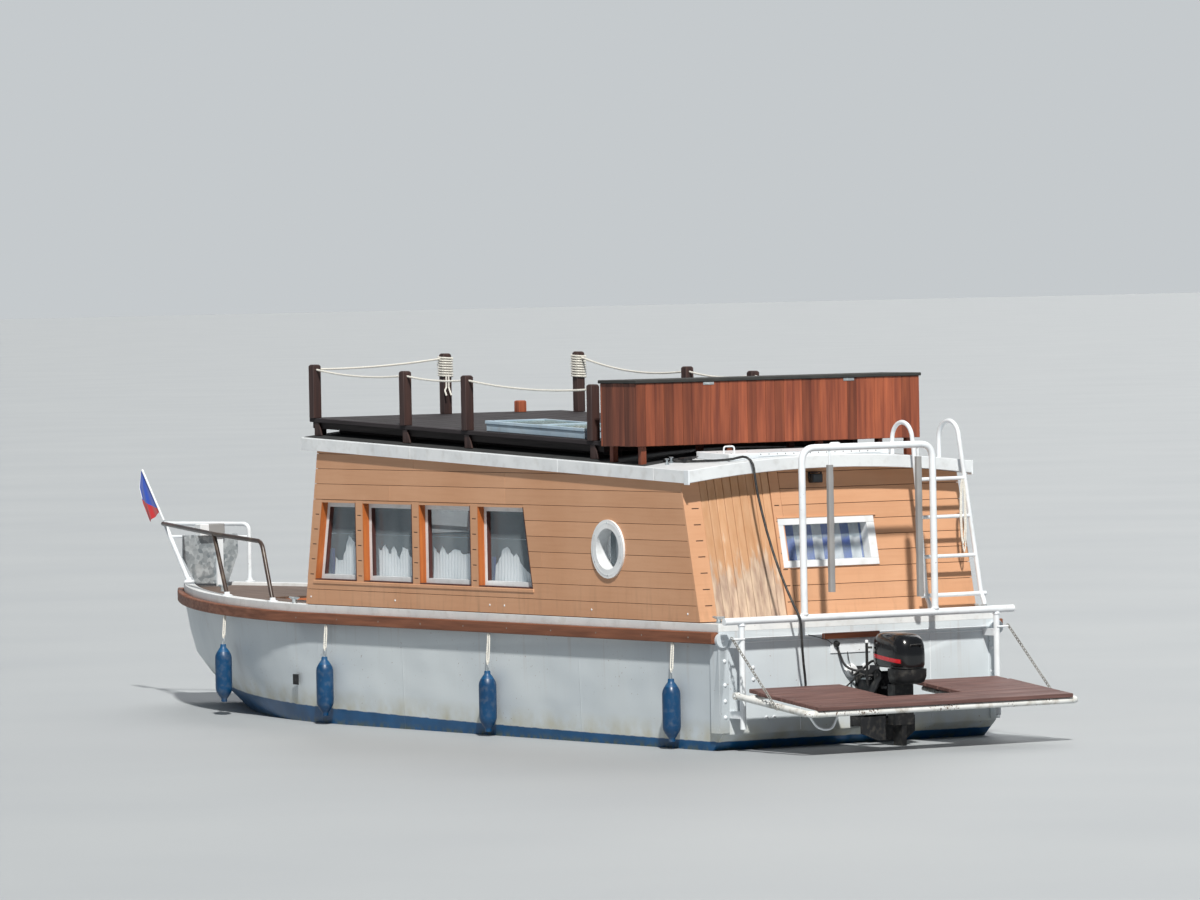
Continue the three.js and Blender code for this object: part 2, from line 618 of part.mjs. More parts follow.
function buildFrontWall() {
  const d = DOOR;
  const wall = leaning(frontPlaneX, -WALL, 0, CABIN.half);
  const opening = box(5000, 6000, -d.half, d.half, d.z0, d.z1);
  addNode('wall_front', minus(wall, [underRoof, opening]), 'siding');
  const leaf = leaning(frontPlaneX, -d.thick, 0).intersect(
    box(5000, 6000, -d.half + d.clear, d.half - d.clear, d.z0 + d.clear, d.z1 - d.clearTop),
  );
  const light = box(5000, 6000, -d.windowHalf, d.windowHalf, d.windowZ0, d.windowZ1);
  const knob = cylinder(12, [frontPlaneX(1350) - 10, -270, 1350], [frontPlaneX(1350) + 50, -270, 1350], 10);
  const knuckles = [1100, 1800].map((z) => cylinder(
    d.pinR, [frontPlaneX(z - 40) + d.pinOut, d.pinY, z - 40], [frontPlaneX(z + 40) + d.pinOut, d.pinY, z + 40], 10,
  ));
  const straps = [1100, 1800].map((z) => (
    leaning(frontPlaneX, -5, 8).intersect(box(5000, 6000, d.pinY - 70, d.pinY, z - 30, z + 30))
  ));
  const strapCut = leaning(frontPlaneX, -100, GAP).intersect(box(5000, 6000, d.half - d.clear, 400, 1000, 1900));
  const leafBody = union([leaf.subtract(light), knob, ...straps]).subtract(strapCut);
  addNode('door', union([leafBody, ...knuckles]), 'orange_wood');
  const pane = leaning(frontPlaneX, -d.thick - GAP - 6, -d.thick - GAP).intersect(
    box(5000, 6000, -d.windowHalf - 20, d.windowHalf + 20, d.windowZ0 - 20, d.windowZ1 + 20),
  );
  addNode('door_glass', pane, 'glass');
}

// Cabin inside
function buildInside() {
  const h = HULL;
  const z0 = h.floorZ + GAP;
  const floor = box(h.holdAft + 2, h.holdFront - 2, -h.holdHalf + 2, h.holdHalf - 2, z0, z0 + 18);
  addNode('cabin_floor', floor, 'deck_grey_brown');
  const seat = z0 + 18 + GAP;
  const s = SETTEE;
  const port = box(s.x0, s.portX1, s.aisle, h.holdHalf - 2, seat, seat + s.high);
  const aft = box(h.holdAft + 2, s.aftX1, -h.holdHalf + 2, h.holdHalf - 2, seat, seat + s.high);
  const stbd = box(s.x0, s.stbdX1, -h.holdHalf + 2, -s.aisle, seat, seat + s.high);
  addNode('settee', union([port, aft, stbd]), 'upholstery');
  const g = GALLEY;
  const galley = box(g.x0, g.x1, -h.holdHalf + 2, -g.aisle, seat, seat + g.high);
  addNode('galley_unit', galley, 'orange_wood');
}

// Roof deck
function deckZ(x) {
  return DECK.topZ + ROOF.slope * x;
}

function buildDeck() {
  const d = DECK;
  const tilt = (body) => body.warp((vertex) => {
    vertex[2] += ROOF.slope * vertex[0];
  });
  const s = SKYLIGHT;
  const boards = tilt(box(d.x0, d.x1, -d.half, d.half, d.topZ - d.thick, d.topZ));
  const posts = DECK_POSTS.map(([x, y, height]) => {
    const half = d.post / 2;
    return box(x - half, x + half, y - half, y + half, deckZ(x) - 15, deckZ(x) + height);
  });
  const p = STUB_POST;
  const half = d.post / 2;
  posts.push(box(p.x - half, p.x + half, p.y - half, p.y + half, deckZ(p.x) - 15, deckZ(p.x) + p.height));
  addNode('roof_deck', union([boards, ...posts]), 'deck_brown');

  const under = d.topZ - d.thick - GAP;
  const b = BEAM;
  const beams = b.y.map((y) => (
    tilt(box(d.x0 + 10, d.x1 - 10, y - b.half, y + b.half, under - d.beam, under))
  ));
  const ties = b.tiesX.map((x) => (
    tilt(box(x - b.half, x + b.half, -b.tieHalf, b.tieHalf, under - d.beam, under))
  ));
  const feet = [];
  DECK_FEET_X.forEach((x) => {
    b.y.forEach((y) => {
      const [z0, z1] = [roofTopAt(x, y) - 100, deckZ(x) - d.thick - 20];
      feet.push(box(x - b.foot, x + b.foot, y - b.foot, y + b.foot, z0, z1));
    });
  });
  const frame = minus(union([...beams, ...ties, ...feet]), [belowRoofTop]);
  const trim = tilt(box(d.x0, d.x1, -d.half, d.half, d.topZ - d.thick - GAP, d.topZ + 600));
  addNode('roof_deck_frame', frame.subtract(trim), 'deck_brown');

  const rim = tilt(box(s.x0, s.x1, s.y0, s.y1, d.topZ + GAP, d.topZ + s.h));
  const well = tilt(box(s.x0 + s.rim, s.x1 - s.rim, s.y0 + s.rim, s.y1 - s.rim, d.topZ - 10, d.topZ + 300));
  addNode('skylight_frame', rim.subtract(well), 'roof_white');
  const o = s.lidOver;
  const lid = tilt(box(s.x0 - o, s.x1 + o, s.y0 - o, s.y1 + o, d.topZ + s.h + GAP, d.topZ + s.lidTop));
  addNode('skylight_lid', lid, 'glass');
}

function postTop(x, y) {
  const [, , height] = DECK_POSTS.find(([postX, postY]) => postX === x && postY === y);
  return deckZ(x) + height;
}

function buildRope() {
  const r = ROPE;
  const mid = (r.collarIn + r.collarOut) / 2;
  const collars = COLLARS.map(([x, y, turns]) => {
    const top = postTop(x, y) - r.drop + r.r;
    const rings = [];
    for (let i = 0; i < turns; i += 1) {
      const z1 = top - i * r.turn;
      const out = r.collarOut;
      const bulge = box(x - out, x + out, y - out, y + out, z1 - r.turn + 4, z1);
      rings.push(bulge, box(x - mid, x + mid, y - mid, y + mid, z1 - r.turn, z1));
    }
    const hole = box(x - r.collarIn, x + r.collarIn, y - r.collarIn, y + r.collarIn, 0, 5000);
    return union(rings).subtract(hole);
  });
  const spans = ROPE_SPANS.map(([from, to, fromSide, toSide, sag]) => {
    const ends = [[from, fromSide], [to, toSide]].map(([collar, side]) => {
      const [x, y] = COLLARS[collar];
      const [shiftX, shiftY] = COLLAR_SIDES[side];
      return new THREE.Vector3(x + shiftX * mid, y + shiftY * mid, postTop(x, y) - r.drop);
    });
    const route = [];
    for (let i = 0; i <= 8; i += 1) {
      const t = i / 8;
      const point = ends[0].clone().lerp(ends[1], t);
      point.z -= 4 * sag * t * (1 - t);
      route.push(point);
    }
    return tubeAlong(route, r.r, 8);
  });
  addNode('rope_rail', union([...collars, ...spans]), 'rope');
}

function buildHose() {
  addNode('hose', tubeAlong(HOSE_ROUTE.map((point) => new THREE.Vector3(...point)), HOSE_R, 10), 'hose_black');
  const l = LAMP;
  const head = cylinder(l.r, [l.x0, l.y, l.z - 12], [l.x1, l.y, l.z], 16, l.r - 8);
  const yoke = leaning(aftPlaneX, -45, -GAP).intersect(box(0, 1000, l.y - 20, l.y + 20, l.z - 12, l.z + 20));
  addNode('lamp', head.add(yoke), 'motor_black');
}

function buildBar() {
  const b = BAR;
  const outer = box(b.x0, b.x1, -b.half, b.half, b.z0, b.z1);
  const inner = box(b.x0 + b.skin, b.x1 - b.skin, -b.half + b.skin, b.half - b.skin, b.z0 + b.skin, b.z1 + 50);
  const legs = [];
  [b.x0 + 30, b.x1 - 75].forEach((x) => {
    [-1190, -400, 400, 1145].forEach((y) => {
      legs.push(box(x, x + b.leg, y, y + b.leg, roofTopAt(x, y) - 60, b.z0 + 10));
    });
  });
  addNode('bar_box', minus(union([outer, ...legs]), [inner, belowRoofTop]), 'bar_wood');
  const lid = box(
    b.x0 - b.lidOver, b.x1 + b.lidOver, -b.half - b.lidOver, b.half + b.lidOver, b.z1 + GAP, b.z1 + b.lid,
  );
  addNode('bar_lid', lid, 'lid_grey');
}

// Stern
function buildStern() {
  const s = STERN;
  const a = ARCH;
  const rail = cylinder(s.tubeR, [s.railX, -s.railHalf, s.railZ], [s.railX, s.railHalf, s.railZ], 12);
  const posts = [-s.postY, s.postY].map((y) => (
    cylinder(s.tubeR - 4, [s.railX, y, s.postFootZ], [s.railX, y, s.railZ], 12)
  ));
  const brackets = [];
  [-s.postY, s.postY].forEach((y) => {
    [260, 760].forEach((z) => brackets.push(box(s.railX, -GAP, y - 25, y + 25, z - 25, z + 25)));
  });
  const arch = bentTube(
    [[s.railX, a.half, s.railZ], [s.railX, a.half, a.topZ], [s.railX, -a.half, a.topZ],
      [s.railX, -a.half, s.railZ]], a.tubeR, a.bend, 12,
  );
  const pins = [-1, 1].map((side) => cylinder(
    PLATFORM.pinR, [s.railX, side * s.postY, PLATFORM.hingeZ],
    [s.railX, side * (PLATFORM.sideY + 24), PLATFORM.hingeZ], 12,
  ));
  const lugs = [-1, 1].map((side) => cylinder(
    7, [CHAIN.topX, side * (s.postY - 10), CHAIN.topZ], [CHAIN.topX, side * (CHAIN.y - CHAIN.r - GAP), CHAIN.topZ], 8,
  ));
  addNode('stern_rail', union([rail, arch, ...posts, ...brackets, ...pins, ...lugs]), 'white_paint');

  SLEEVES.forEach(([name, y, top, bottom]) => {
    const x = s.railX - 5;
    const sleeve = box(x - SLEEVE.half, x + SLEEVE.half, y - SLEEVE.half, y + SLEEVE.half, bottom, top);
    const stem = cylinder(SLEEVE.stemR, [x, y, bottom - 12], [x, y, a.topZ - a.tubeR - GAP], 8);
    addNode(name, sleeve.add(stem), 'sleeve_grey');
  });
}

function buildLadder() {
  const l = LADDER;
  const x = (z) => l.footX + (z - l.footZ) * l.lean;
  const rails = l.rails.map(({ topY, spread }) => {
    const y = (z) => topY - (l.shoulderZ - z) * spread;
    return { y, topY };
  });
  const hookR = (l.hookX - x(l.hookZ)) / 2;
  const crooks = [0, 1, 2, 3, 4, 5, 6, 7, 8].map((step) => {
    const angle = (step * Math.PI) / 8;
    return [l.hookX - hookR * (1 - Math.cos(angle)), l.hookZ - hookR * (1 - Math.sin(angle))];
  });
  const tubes = rails.map(({ y, topY }) => tubeAlong(rounded([
    [l.hookX, topY, roofTopAt(l.hookX, topY) - 5], ...crooks.map(([hookX, hookZ]) => [hookX, topY, hookZ]),
    [x(l.shoulderZ), topY, l.shoulderZ], [x(l.footZ), y(l.footZ), l.footZ],
    [x(l.footZ) - 40, y(l.footZ), l.footZ - 60], [x(l.footZ) - 40, y(l.footZ), RIM_TOP + GAP],
  ], 45, 1), l.r));
  const rungs = l.rungs.map((z) => (
    cylinder(l.r - 2, [x(z), rails[0].y(z), z], [x(z), rails[1].y(z), z], 10)
  ));
  const bar = cylinder(
    l.r, [x(l.footZ), rails[0].y(l.footZ) + 40, l.footZ], [x(l.footZ), rails[1].y(l.footZ) - 40, l.footZ], 10,
  );
  addNode('ladder', minus(union([...tubes, bar, ...rungs]), [roofSkin]), 'white_paint');
}

// Swim platform, in its lowered place; it is built level and then drooped about its hinge
function drooped(body) {
  const p = PLATFORM;
  return body.warp((vertex) => {
    vertex[2] += (vertex[0] - p.hingeX) * p.drop;
  });
}

function buildPlatform() {
  const p = PLATFORM;
  const rimX = p.x1 + p.tubeR;
  const rim = bentTube([
    [p.hingeX - 34, p.sideY, p.hingeZ], [rimX, p.sideY, p.hingeZ], [rimX, -p.sideY, p.hingeZ],
    [p.hingeX - 34, -p.sideY, p.hingeZ],
  ], p.tubeR, 60);
  const eyes = [-1, 1].map((side) => cylinder(
    p.tubeR + 2, [p.hingeX, side * (p.sideY - 20), p.hingeZ], [p.hingeX, side * (p.sideY + 20), p.hingeZ], 16,
  ));
  const necks = [-p.sideY, p.sideY].map((y) => (
    box(p.hingeX - 40, p.hingeX, y - 14, y + 14, p.hingeZ - 14, p.hingeZ + 14)
  ));
  const holes = [-1, 1].map((side) => cylinder(
    p.pinR + GAP, [p.hingeX, side * (p.sideY - 30), p.hingeZ], [p.hingeX, side * (p.sideY + 30), p.hingeZ], 12,
  ));
  const studs = [-1, 1].map((side) => cylinder(
    7, [CHAIN.footX, side * p.sideY, p.hingeZ], [CHAIN.footX, side * (CHAIN.y - CHAIN.r - GAP), p.hingeZ], 8,
  ));
  const bearers = [[p.sideY, p.notchY1 + 40], [p.notchY0 - 40, -p.sideY]].map(([from, to]) => (
    cylinder(p.tubeR - 8, [p.bearerX, from, p.hingeZ], [p.bearerX, to, p.hingeZ], 10)
  ));
  const runners = [p.notchY1 + 40, p.notchY0 - 40].map((y) => (
    cylinder(p.tubeR - 8, [p.bearerX, y, p.hingeZ], [rimX, y, p.hingeZ], 10)
  ));
  const frame = union([rim, ...eyes, ...necks, ...studs, ...bearers, ...runners]);
  addNode('platform_frame', minus(drooped(frame), holes), 'white_paint');
  const z0 = p.hingeZ + p.tubeR + GAP;
  const boards = box(p.x1 - 12, p.boardX, -p.half, p.half, z0, z0 + p.boards);
  const notch = box(p.notchX, 0, p.notchY0, p.notchY1, 0, 1000);
  const corners = [[p.cornerHalf, 2000], [-2000, -p.cornerHalf]].map(([y0, y1]) => (
    box(p.cornerX, 0, y0, y1, 0, 1000)
  ));
  addNode('platform_boards', drooped(minus(boards, [notch, ...corners])), 'board_brown');

  const c = CHAIN;
  const footZ = p.hingeZ + (c.footX - p.hingeX) * p.drop;
  [['chain_port', 1], ['chain_stbd', -1]].forEach(([name, side]) => {
    const top = new THREE.Vector3(c.topX, side * c.y, c.topZ);
    addNode(name, linkedChain(top, new THREE.Vector3(c.footX, side * c.y, footZ)), 'chain_steel');
  });
}

// Oval links, each turned a quarter from the last and fused where they meet
function linkedChain(from, to) {
  const c = CHAIN;
  const along = to.clone().sub(from);
  const pitch = along.length() / c.links;
  along.normalize();
  const level = new THREE.Vector3(0, 1, 0);
  const upright = level.clone().cross(along).normalize();
  const bendAngles = [-90, -30, 30, 90];
  // The flat in the middle of each bend is what bears on the next link
  const straight = (pitch - c.nip) / 2 + c.wire - c.bendR * Math.cos(THREE.MathUtils.degToRad(30));
  const links = [];
  for (let i = 0; i < c.links; i += 1) {
    const centre = from.clone().addScaledVector(along, pitch * (i + 0.5));
    const [wide, axis] = i % 2 ? [level, upright] : [upright, level];
    const points = [];
    [1, -1].forEach((end) => {
      bendAngles.forEach((degrees) => {
        const angle = THREE.MathUtils.degToRad(degrees);
        points.push(centre.clone()
          .addScaledVector(along, end * (straight + c.bendR * Math.cos(angle)))
          .addScaledVector(wide, end * c.bendR * Math.sin(angle)));
      });
    });
    const turn = along.clone().cross(wide).dot(axis) > 0 ? axis : axis.clone().negate();
    links.push(wireRing(points, turn, c.wire));
  }
  return union(links);
}

// A level ring between an oval and a rectangle
function squareOval(x0, x1, half, z, y) {
  const ring = [];
  for (let i = 0; i < 20; i += 1) {
    const angle = (i * 2 * Math.PI) / 20;
    const [c, s] = [Math.cos(angle), Math.sin(angle)];
    ring.push([
      (x0 + x1) / 2 + ((x1 - x0) / 2) * Math.sign(c) * Math.abs(c) ** 0.6,
      y + half * Math.sign(s) * Math.abs(s) ** 0.6, z,
    ]);
  }
  return ring;
}

// Outboard motor on its bracket
function buildMotor() {
  const m = MOTOR;
  const y = m.y;
  const cheekIn = 78;
  const cheekOut = 92;
  const cheeks = [-1, 1].map((side) => {
    const [from, to] = side > 0 ? [y + cheekIn, y + cheekOut] : [y - cheekOut, y - cheekIn];
    return plateXZ([
      [-12, 190], [-12, 540], [m.pivotX + 115, 410], [m.pivotX + 38, m.pivotZ - 32], [m.pivotX + 48, m.pivotZ + 5],
      [m.pivotX + 25, m.pivotZ + 42], [m.pivotX - 10, m.pivotZ + 48], [m.pivotX - 45, m.pivotZ + 20],
      [m.pivotX - 48, m.pivotZ - 20], [m.pivotX - 20, m.pivotZ - 50], [-60, 190],
    ].reverse(), from, to);
  });
  const plate = box(-12, -GAP, y - 105, y + 105, 190, 560);
  const s = SHROUD;
  const shroud = plateYZ(s.outline.map(([dy, z]) => [y + dy, z]), s.x0, s.x1);
  const struts = s.struts.map((dy) => box(s.x0 + 5, -GAP, y + dy, y + dy + 14, 135, 195));
  const lower = box(-12, -GAP, y - 155, y + 155, 130, 230);
  const bridge = box(-200, -12, y - cheekIn - 2, y + cheekIn + 2, 300, 330);
  const pin = cylinder(11.5, [m.pivotX, y - 100, m.pivotZ], [m.pivotX, y + 100, m.pivotZ], 14);
  addNode('motor_bracket', union([plate, lower, bridge, pin, shroud, ...struts, ...cheeks]), 'motor_grey');

  const hub = cylinder(30, [m.pivotX, y - 70, m.pivotZ], [m.pivotX, y + 70, m.pivotZ], 18);
  const column = cylinder(32, [m.steerX, y, 190], [m.steerX, y, 425], 18);
  const arm = box(m.steerX, m.pivotX, y - 60, y + 60, m.pivotZ - 95, m.pivotZ - 76);
  const knee = plateXZ([
    [m.steerX, m.pivotZ - 95], [m.pivotX - 20, m.pivotZ - 95], [m.pivotX + 28, m.pivotZ - 10],
    [m.pivotX - 10, m.pivotZ + 20], [m.pivotX - 28, m.pivotZ], [m.pivotX - 30, m.pivotZ - 76],
    [m.steerX, m.pivotZ - 76],
  ], y - 50, y + 50);
  const bore = cylinder(11.5 + GAP, [m.pivotX, y - 200, m.pivotZ], [m.pivotX, y + 200, m.pivotZ], 14);
  addNode('motor_swivel', minus(union([hub, column, arm, knee]), [bore]), 'motor_grey');

  const neck = box(m.steerX - 130, m.steerX - 40, y - 80, y + 80, 150, m.cowlZ0 - GAP);
  const foot = box(m.steerX - 130, m.steerX + 40, y - 45, y + 45, 150, 190 - GAP);
  const yoke = box(m.steerX - 130, m.steerX + 22, y - 24, y + 24, 425 + GAP, m.cowlZ0 - GAP);
  const leg = plateXZ([
    [m.steerX - 125, 184], [m.steerX - 120, -60], [m.steerX - 170, m.plateZ], [m.steerX - 150, m.propZ - 20],
    [m.steerX - 120, m.propZ - 150], [m.steerX - 60, m.propZ - 150], [m.steerX - 20, m.propZ],
    [m.steerX - 20, m.plateZ], [m.steerX - 10, 184],
  ], y - 20, y + 20);
  const gearcase = cylinder(42, [m.steerX + 20, y, m.propZ], [m.propX - 50, y, m.propZ], 16);
  const nose = cylinder(42, [m.steerX + 20, y, m.propZ], [m.steerX + 90, y, m.propZ], 16, 12);
  const fin = plateXY([
    [m.propX - 170, y - 60], [m.steerX - 20, y - 75], [m.steerX + 30, y], [m.steerX - 20, y + 75],
    [m.propX - 170, y + 60],
  ], m.plateZ - 4, m.plateZ + 4);
  addNode('motor_leg', union([neck, foot, yoke, leg, gearcase, nose, fin]), 'motor_black');

  const pan = loft(PAN_LEVELS.map((row) => squareOval(...row, y)));
  const lid = loft(COWL_LEVELS.map((row) => squareOval(...row, y)));
  addNode('motor_cowl', pan.add(lid), 'motor_black');

  const boss = cylinder(36, [m.propX - 50 - GAP, y, m.propZ], [m.propX - 140, y, m.propZ], 16, 26);
  const blades = [0, 1, 2].map((index) => (
    box(-7, 7, -34, 34, 22, m.propR).rotate([0, 0, 35]).rotate([index * 120, 0, 0])
      .translate([m.propX - 95, y, m.propZ])
  ));
  addNode('propeller', union([boss, ...blades]), 'motor_black');
}

// Bow
function buildBow() {
  const p = PULPIT;
  const deck = belowDeck(RIM_TOP + GAP);
  const foot = (x) => RIM_TOP - 20 + lift(x);
  const top = p.topZ;
  const ends = [
    [p.bowX, 0, top], [9080, -330, top], [9080, -330, foot(9080)],
  ];
  const portRail = bentTube([
    [p.bowX, 0, top], [7450, 960, top - 10], [6450, 1120, top - 45], [6250, 1150, foot(6250)],
  ], p.r, p.bend);
  const stbdRail = bentTube(ends, p.r, p.bend);
  const midPost = cylinder(p.r, [7450, 960, top - 10], [7280, 950, foot(7350)], 10);
  const bowPost = cylinder(p.r, [9870, 0, top], [9500, 0, foot(9500) + 3], 10);
  const lowBar = cylinder(p.lowR, [9080, -330, p.lowZ], [9786, 0, p.lowZ], 10);
  addNode('pulpit', union([portRail, stbdRail, midPost, bowPost, lowBar]).subtract(deck), 'white_paint');
  const aftRail = bentTube([
    [8200, -650, foot(8200)], [8150, -690, top - 6], [7450, -960, top - 10], [6450, -1120, top - 45],
    [6250, -1150, foot(6250)],
  ], p.r, p.bend);
  addNode('side_rail_stbd', aftRail.subtract(deck), 'white_paint');

  const foredeckZ = HULL.sheerZ + GAP + FOREDECK.thick + GAP;
  const { x, postTop: z1, outline } = SHIELD;
  const post = box(x - 15, x + 15, -30, 30, foredeckZ, z1).subtract(belowDeck(foredeckZ));
  const shield = plateYZ(outline, x + 10, x + 18);
  const cap = box(x - 45, x + 45, -110, 110, z1 - 60, z1 + 20);
  addNode('bow_shield', union([post, shield, cap]), 'galvanised');

  addNode('flagstaff', cylinder(STAFF.r, STAFF.from, STAFF.to, 8), 'white_paint');
  addNode('flag', plateXZ(FLAG_OUTLINE, -8, 8), 'flag_cloth');
}

function railHalf(x) {
  const u = Math.max(0, (x - HULL.taperStart) / (HULL.stemX - HULL.taperStart));
  return HULL.half * (1 - u ** HULL.fullness);
}

function buildFenders() {
  const f = FENDER;
  const profile = [
    [0, 0], [24, 0], [40, 30], [f.r, 90], [f.r, f.length - 90], [40, f.length - 30], [24, f.length],
    [0, f.length],
  ].map(([r, z]) => new THREE.Vector2(r, z));
  FENDERS.forEach(([name, x, side, middle]) => {
    const y = side * (railHalf(x) + f.out);
    const ropeY = side * (railHalf(x) + f.ropeOut);
    const z0 = middle - f.length / 2;
    const geometry = new THREE.LatheGeometry(profile, 16);
    geometry.rotateX(Math.PI / 2);
    geometry.translate(x, y, z0);
    const ropeTop = RUB.z0 + lift(x) - 0.45;
    const rope = cylinder(f.ropeR, [x, y, z0 + f.length - 5], [x, ropeY, ropeTop + 10], 8);
    const above = box(x - 50, x + 50, -2000, 2000, ropeTop, ropeTop + 50);
    addNode(name, solid(geometry).add(rope).subtract(above), 'fender_blue');
  });
}

buildHull();
buildRim();
buildRubRail();
buildRoof();
buildSide('port', 1);
buildSide('stbd', -1);
buildAftWall();
buildFrontWall();
buildInside();
buildDeck();
buildRope();
buildHose();
buildBar();
buildStern();
buildLadder();
buildPlatform();
buildMotor();
buildBow();
buildFenders();

export default houseboat;
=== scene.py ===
"""The looks of a houseboat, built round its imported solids.

Metres, +X to the bow, +Y to port, +Z up, with the origin at the transom, on the centreline, at the waterline.
"""

import math
import random

import bmesh
import bpy
from mathutils import Matrix, Vector


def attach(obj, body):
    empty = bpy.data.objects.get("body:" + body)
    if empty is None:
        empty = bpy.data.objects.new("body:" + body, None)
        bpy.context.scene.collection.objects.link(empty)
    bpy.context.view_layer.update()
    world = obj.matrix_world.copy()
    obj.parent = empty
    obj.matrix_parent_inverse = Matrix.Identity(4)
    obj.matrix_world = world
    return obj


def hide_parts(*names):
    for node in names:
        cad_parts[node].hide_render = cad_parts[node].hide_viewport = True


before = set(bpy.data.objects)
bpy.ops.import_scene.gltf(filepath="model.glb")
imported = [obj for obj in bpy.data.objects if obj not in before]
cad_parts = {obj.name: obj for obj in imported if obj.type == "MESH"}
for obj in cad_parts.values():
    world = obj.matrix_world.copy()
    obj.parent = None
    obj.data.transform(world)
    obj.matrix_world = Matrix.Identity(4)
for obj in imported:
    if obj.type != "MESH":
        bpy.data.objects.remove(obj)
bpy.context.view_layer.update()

# Sizes shared with the solids
CABIN_HALF = 1.2
CABIN_BASE = 0.9056
BOARD = 0.0125
AFT_FOOT, AFT_LEAN = 0.25, 0.217
FRONT_FOOT, FRONT_LEAN = 5.64, 0.176
ROOF_X0, ROOF_X1, ROOF_HALF = 0.3, 5.636, 1.235
ROOF_EDGE, ROOF_CAMBER, ROOF_SLOPE, ROOF_THICK = 1.991, 0.078, 0.0366, 0.09
DECK_LEVEL = 2.128
SHEER, TAPER_START, STEM, FULLNESS, LIFT = 0.85, 5.8, 9.58, 1.9, 0.0128
HULL_HALF = 1.215
RIM_TOP = 0.9053
HINGE_X, HINGE_Z, DROOP = -0.14, 0.398, 0.11


def lift(x):
    """How far the sheer has risen at x."""
    return max(0.0, x - TAPER_START) * LIFT


def rail_half(x):
    """Half of the hull's breadth at x."""
    u = max(0.0, (x - TAPER_START) / (STEM - TAPER_START))
    return HULL_HALF * (1 - u ** FULLNESS)


def roof_top(x, y):
    return ROOF_EDGE + ROOF_CAMBER * (1 - (y / ROOF_HALF) ** 2) + ROOF_SLOPE * (x - ROOF_X0)


def deck_top(x):
    return DECK_LEVEL + ROOF_SLOPE * x


def sloped(co):
    """A point of the level deck set at the roof's slope."""
    return Vector((co.x, co.y, co.z + ROOF_SLOPE * co.x))


def drooped(co):
    """A point of the level platform set at its droop from the hinge."""
    return Vector((co.x, co.y, co.z + (co.x - HINGE_X) * DROOP))


def aft_x(z):
    return AFT_FOOT + AFT_LEAN * (z - CABIN_BASE)


def front_x(z):
    return FRONT_FOOT - FRONT_LEAN * (z - CABIN_BASE)


# Camera at the photograph's viewing angle, in degrees, metres and millimetres
HEADING, DIP, ROLL = 33.17, 1.32, 1.08
CAMERA_PLACE = (-47.69, 33.36, 3.48)
FOCAL_LENGTH, SENSOR_WIDTH = 243.87, 36.0


def place_camera():
    heading, dip, roll = math.radians(HEADING), math.radians(DIP), math.radians(ROLL)
    forward = Vector((math.cos(heading) * math.cos(dip), -math.sin(heading) * math.cos(dip), -math.sin(dip)))
    level = Vector((-math.sin(heading), -math.cos(heading), 0.0))
    above = level.cross(forward)
    right = level * math.cos(roll) - above * math.sin(roll)
    up = level * math.sin(roll) + above * math.cos(roll)
    lens = bpy.data.cameras.new("camera")
    lens.sensor_width = SENSOR_WIDTH
    lens.lens = FOCAL_LENGTH
    lens.clip_start = 0.5
    lens.clip_end = 900.0
    camera = bpy.data.objects.new("camera", lens)
    turn = Matrix((right, up, -forward)).transposed().to_4x4()
    camera.matrix_world = Matrix.Translation(CAMERA_PLACE) @ turn
    bpy.context.scene.collection.objects.link(camera)
    bpy.context.scene.camera = camera


def far_light(name, energy, spread, toward, colour=(1.0, 1.0, 1.0)):
    """Light from far off, spread over so many degrees, from the side that toward points to."""
    light = bpy.data.lights.new(name, "SUN")
    light.energy = energy
    light.angle = math.radians(spread)
    light.color = colour
    lamp = bpy.data.objects.new(name, light)
    lamp.rotation_euler = Vector(toward).to_track_quat("Z", "Y").to_euler()
    bpy.context.scene.collection.objects.link(lamp)


def place_lights():
    far_light("sun", 4.6, 2.5, (-0.593, 0.300, 0.745), (1.0, 0.965, 0.91))
    far_light("fill", 0.8, 40.0, (0.55, -0.65, 0.50))


def place_sky():
    """A pale sky that lights the boat; the camera itself sees a plain grey in its place."""
    world = bpy.data.worlds.new("studio")
    world.use_nodes = True
    tree = world.node_tree
    sky = tree.nodes["Background"]
    sky.inputs["Color"].default_value = (0.80, 0.87, 0.95, 1.0)
    sky.inputs["Strength"].default_value = 0.24
    backdrop = tree.nodes.new("ShaderNodeBackground")
    backdrop.inputs["Color"].default_value = (0.56, 0.59, 0.61, 1.0)
    rays = tree.nodes.new("ShaderNodeLightPath")
    chosen = tree.nodes.new("ShaderNodeMixShader")
    tree.links.new(rays.outputs["Is Camera Ray"], chosen.inputs[0])
    tree.links.new(sky.outputs[0], chosen.inputs[1])
    tree.links.new(backdrop.outputs[0], chosen.inputs[2])
    tree.links.new(chosen.outputs[0], tree.nodes["World Output"].inputs["Surface"])
    bpy.context.scene.world = world
    bpy.context.scene.view_settings.view_transform = "Standard"


place_camera()
place_lights()
place_sky()


# Finishes
def srgb(red, green, blue):
    """A colour of 0 to 255 as Blender's linear one."""
    linear = []
    for part in (red, green, blue):
        level = part / 255
        linear.append(level / 12.92 if level <= 0.04045 else ((level + 0.055) / 1.055) ** 2.4)
    return (*linear, 1.0)


class NodeTree:
    """A node tree under way, whose sockets are filled by values or by links."""

    def fill(self, socket, value):
        if isinstance(value, bpy.types.NodeSocket):
            self.tree.links.new(value, socket)
        elif value is not None:
            socket.default_value = value

    def add(self, kind, inputs=None, **settings):
        node = self.tree.nodes.new(kind)
        for setting, value in settings.items():
            setattr(node, setting, value)
        for socket, value in (inputs or {}).items():
            self.fill(node.inputs[socket], value)
        return node.outputs

    def calc(self, operation, first, second=None):
        return self.add("ShaderNodeMath", {0: first, 1: second}, operation=operation)[0]


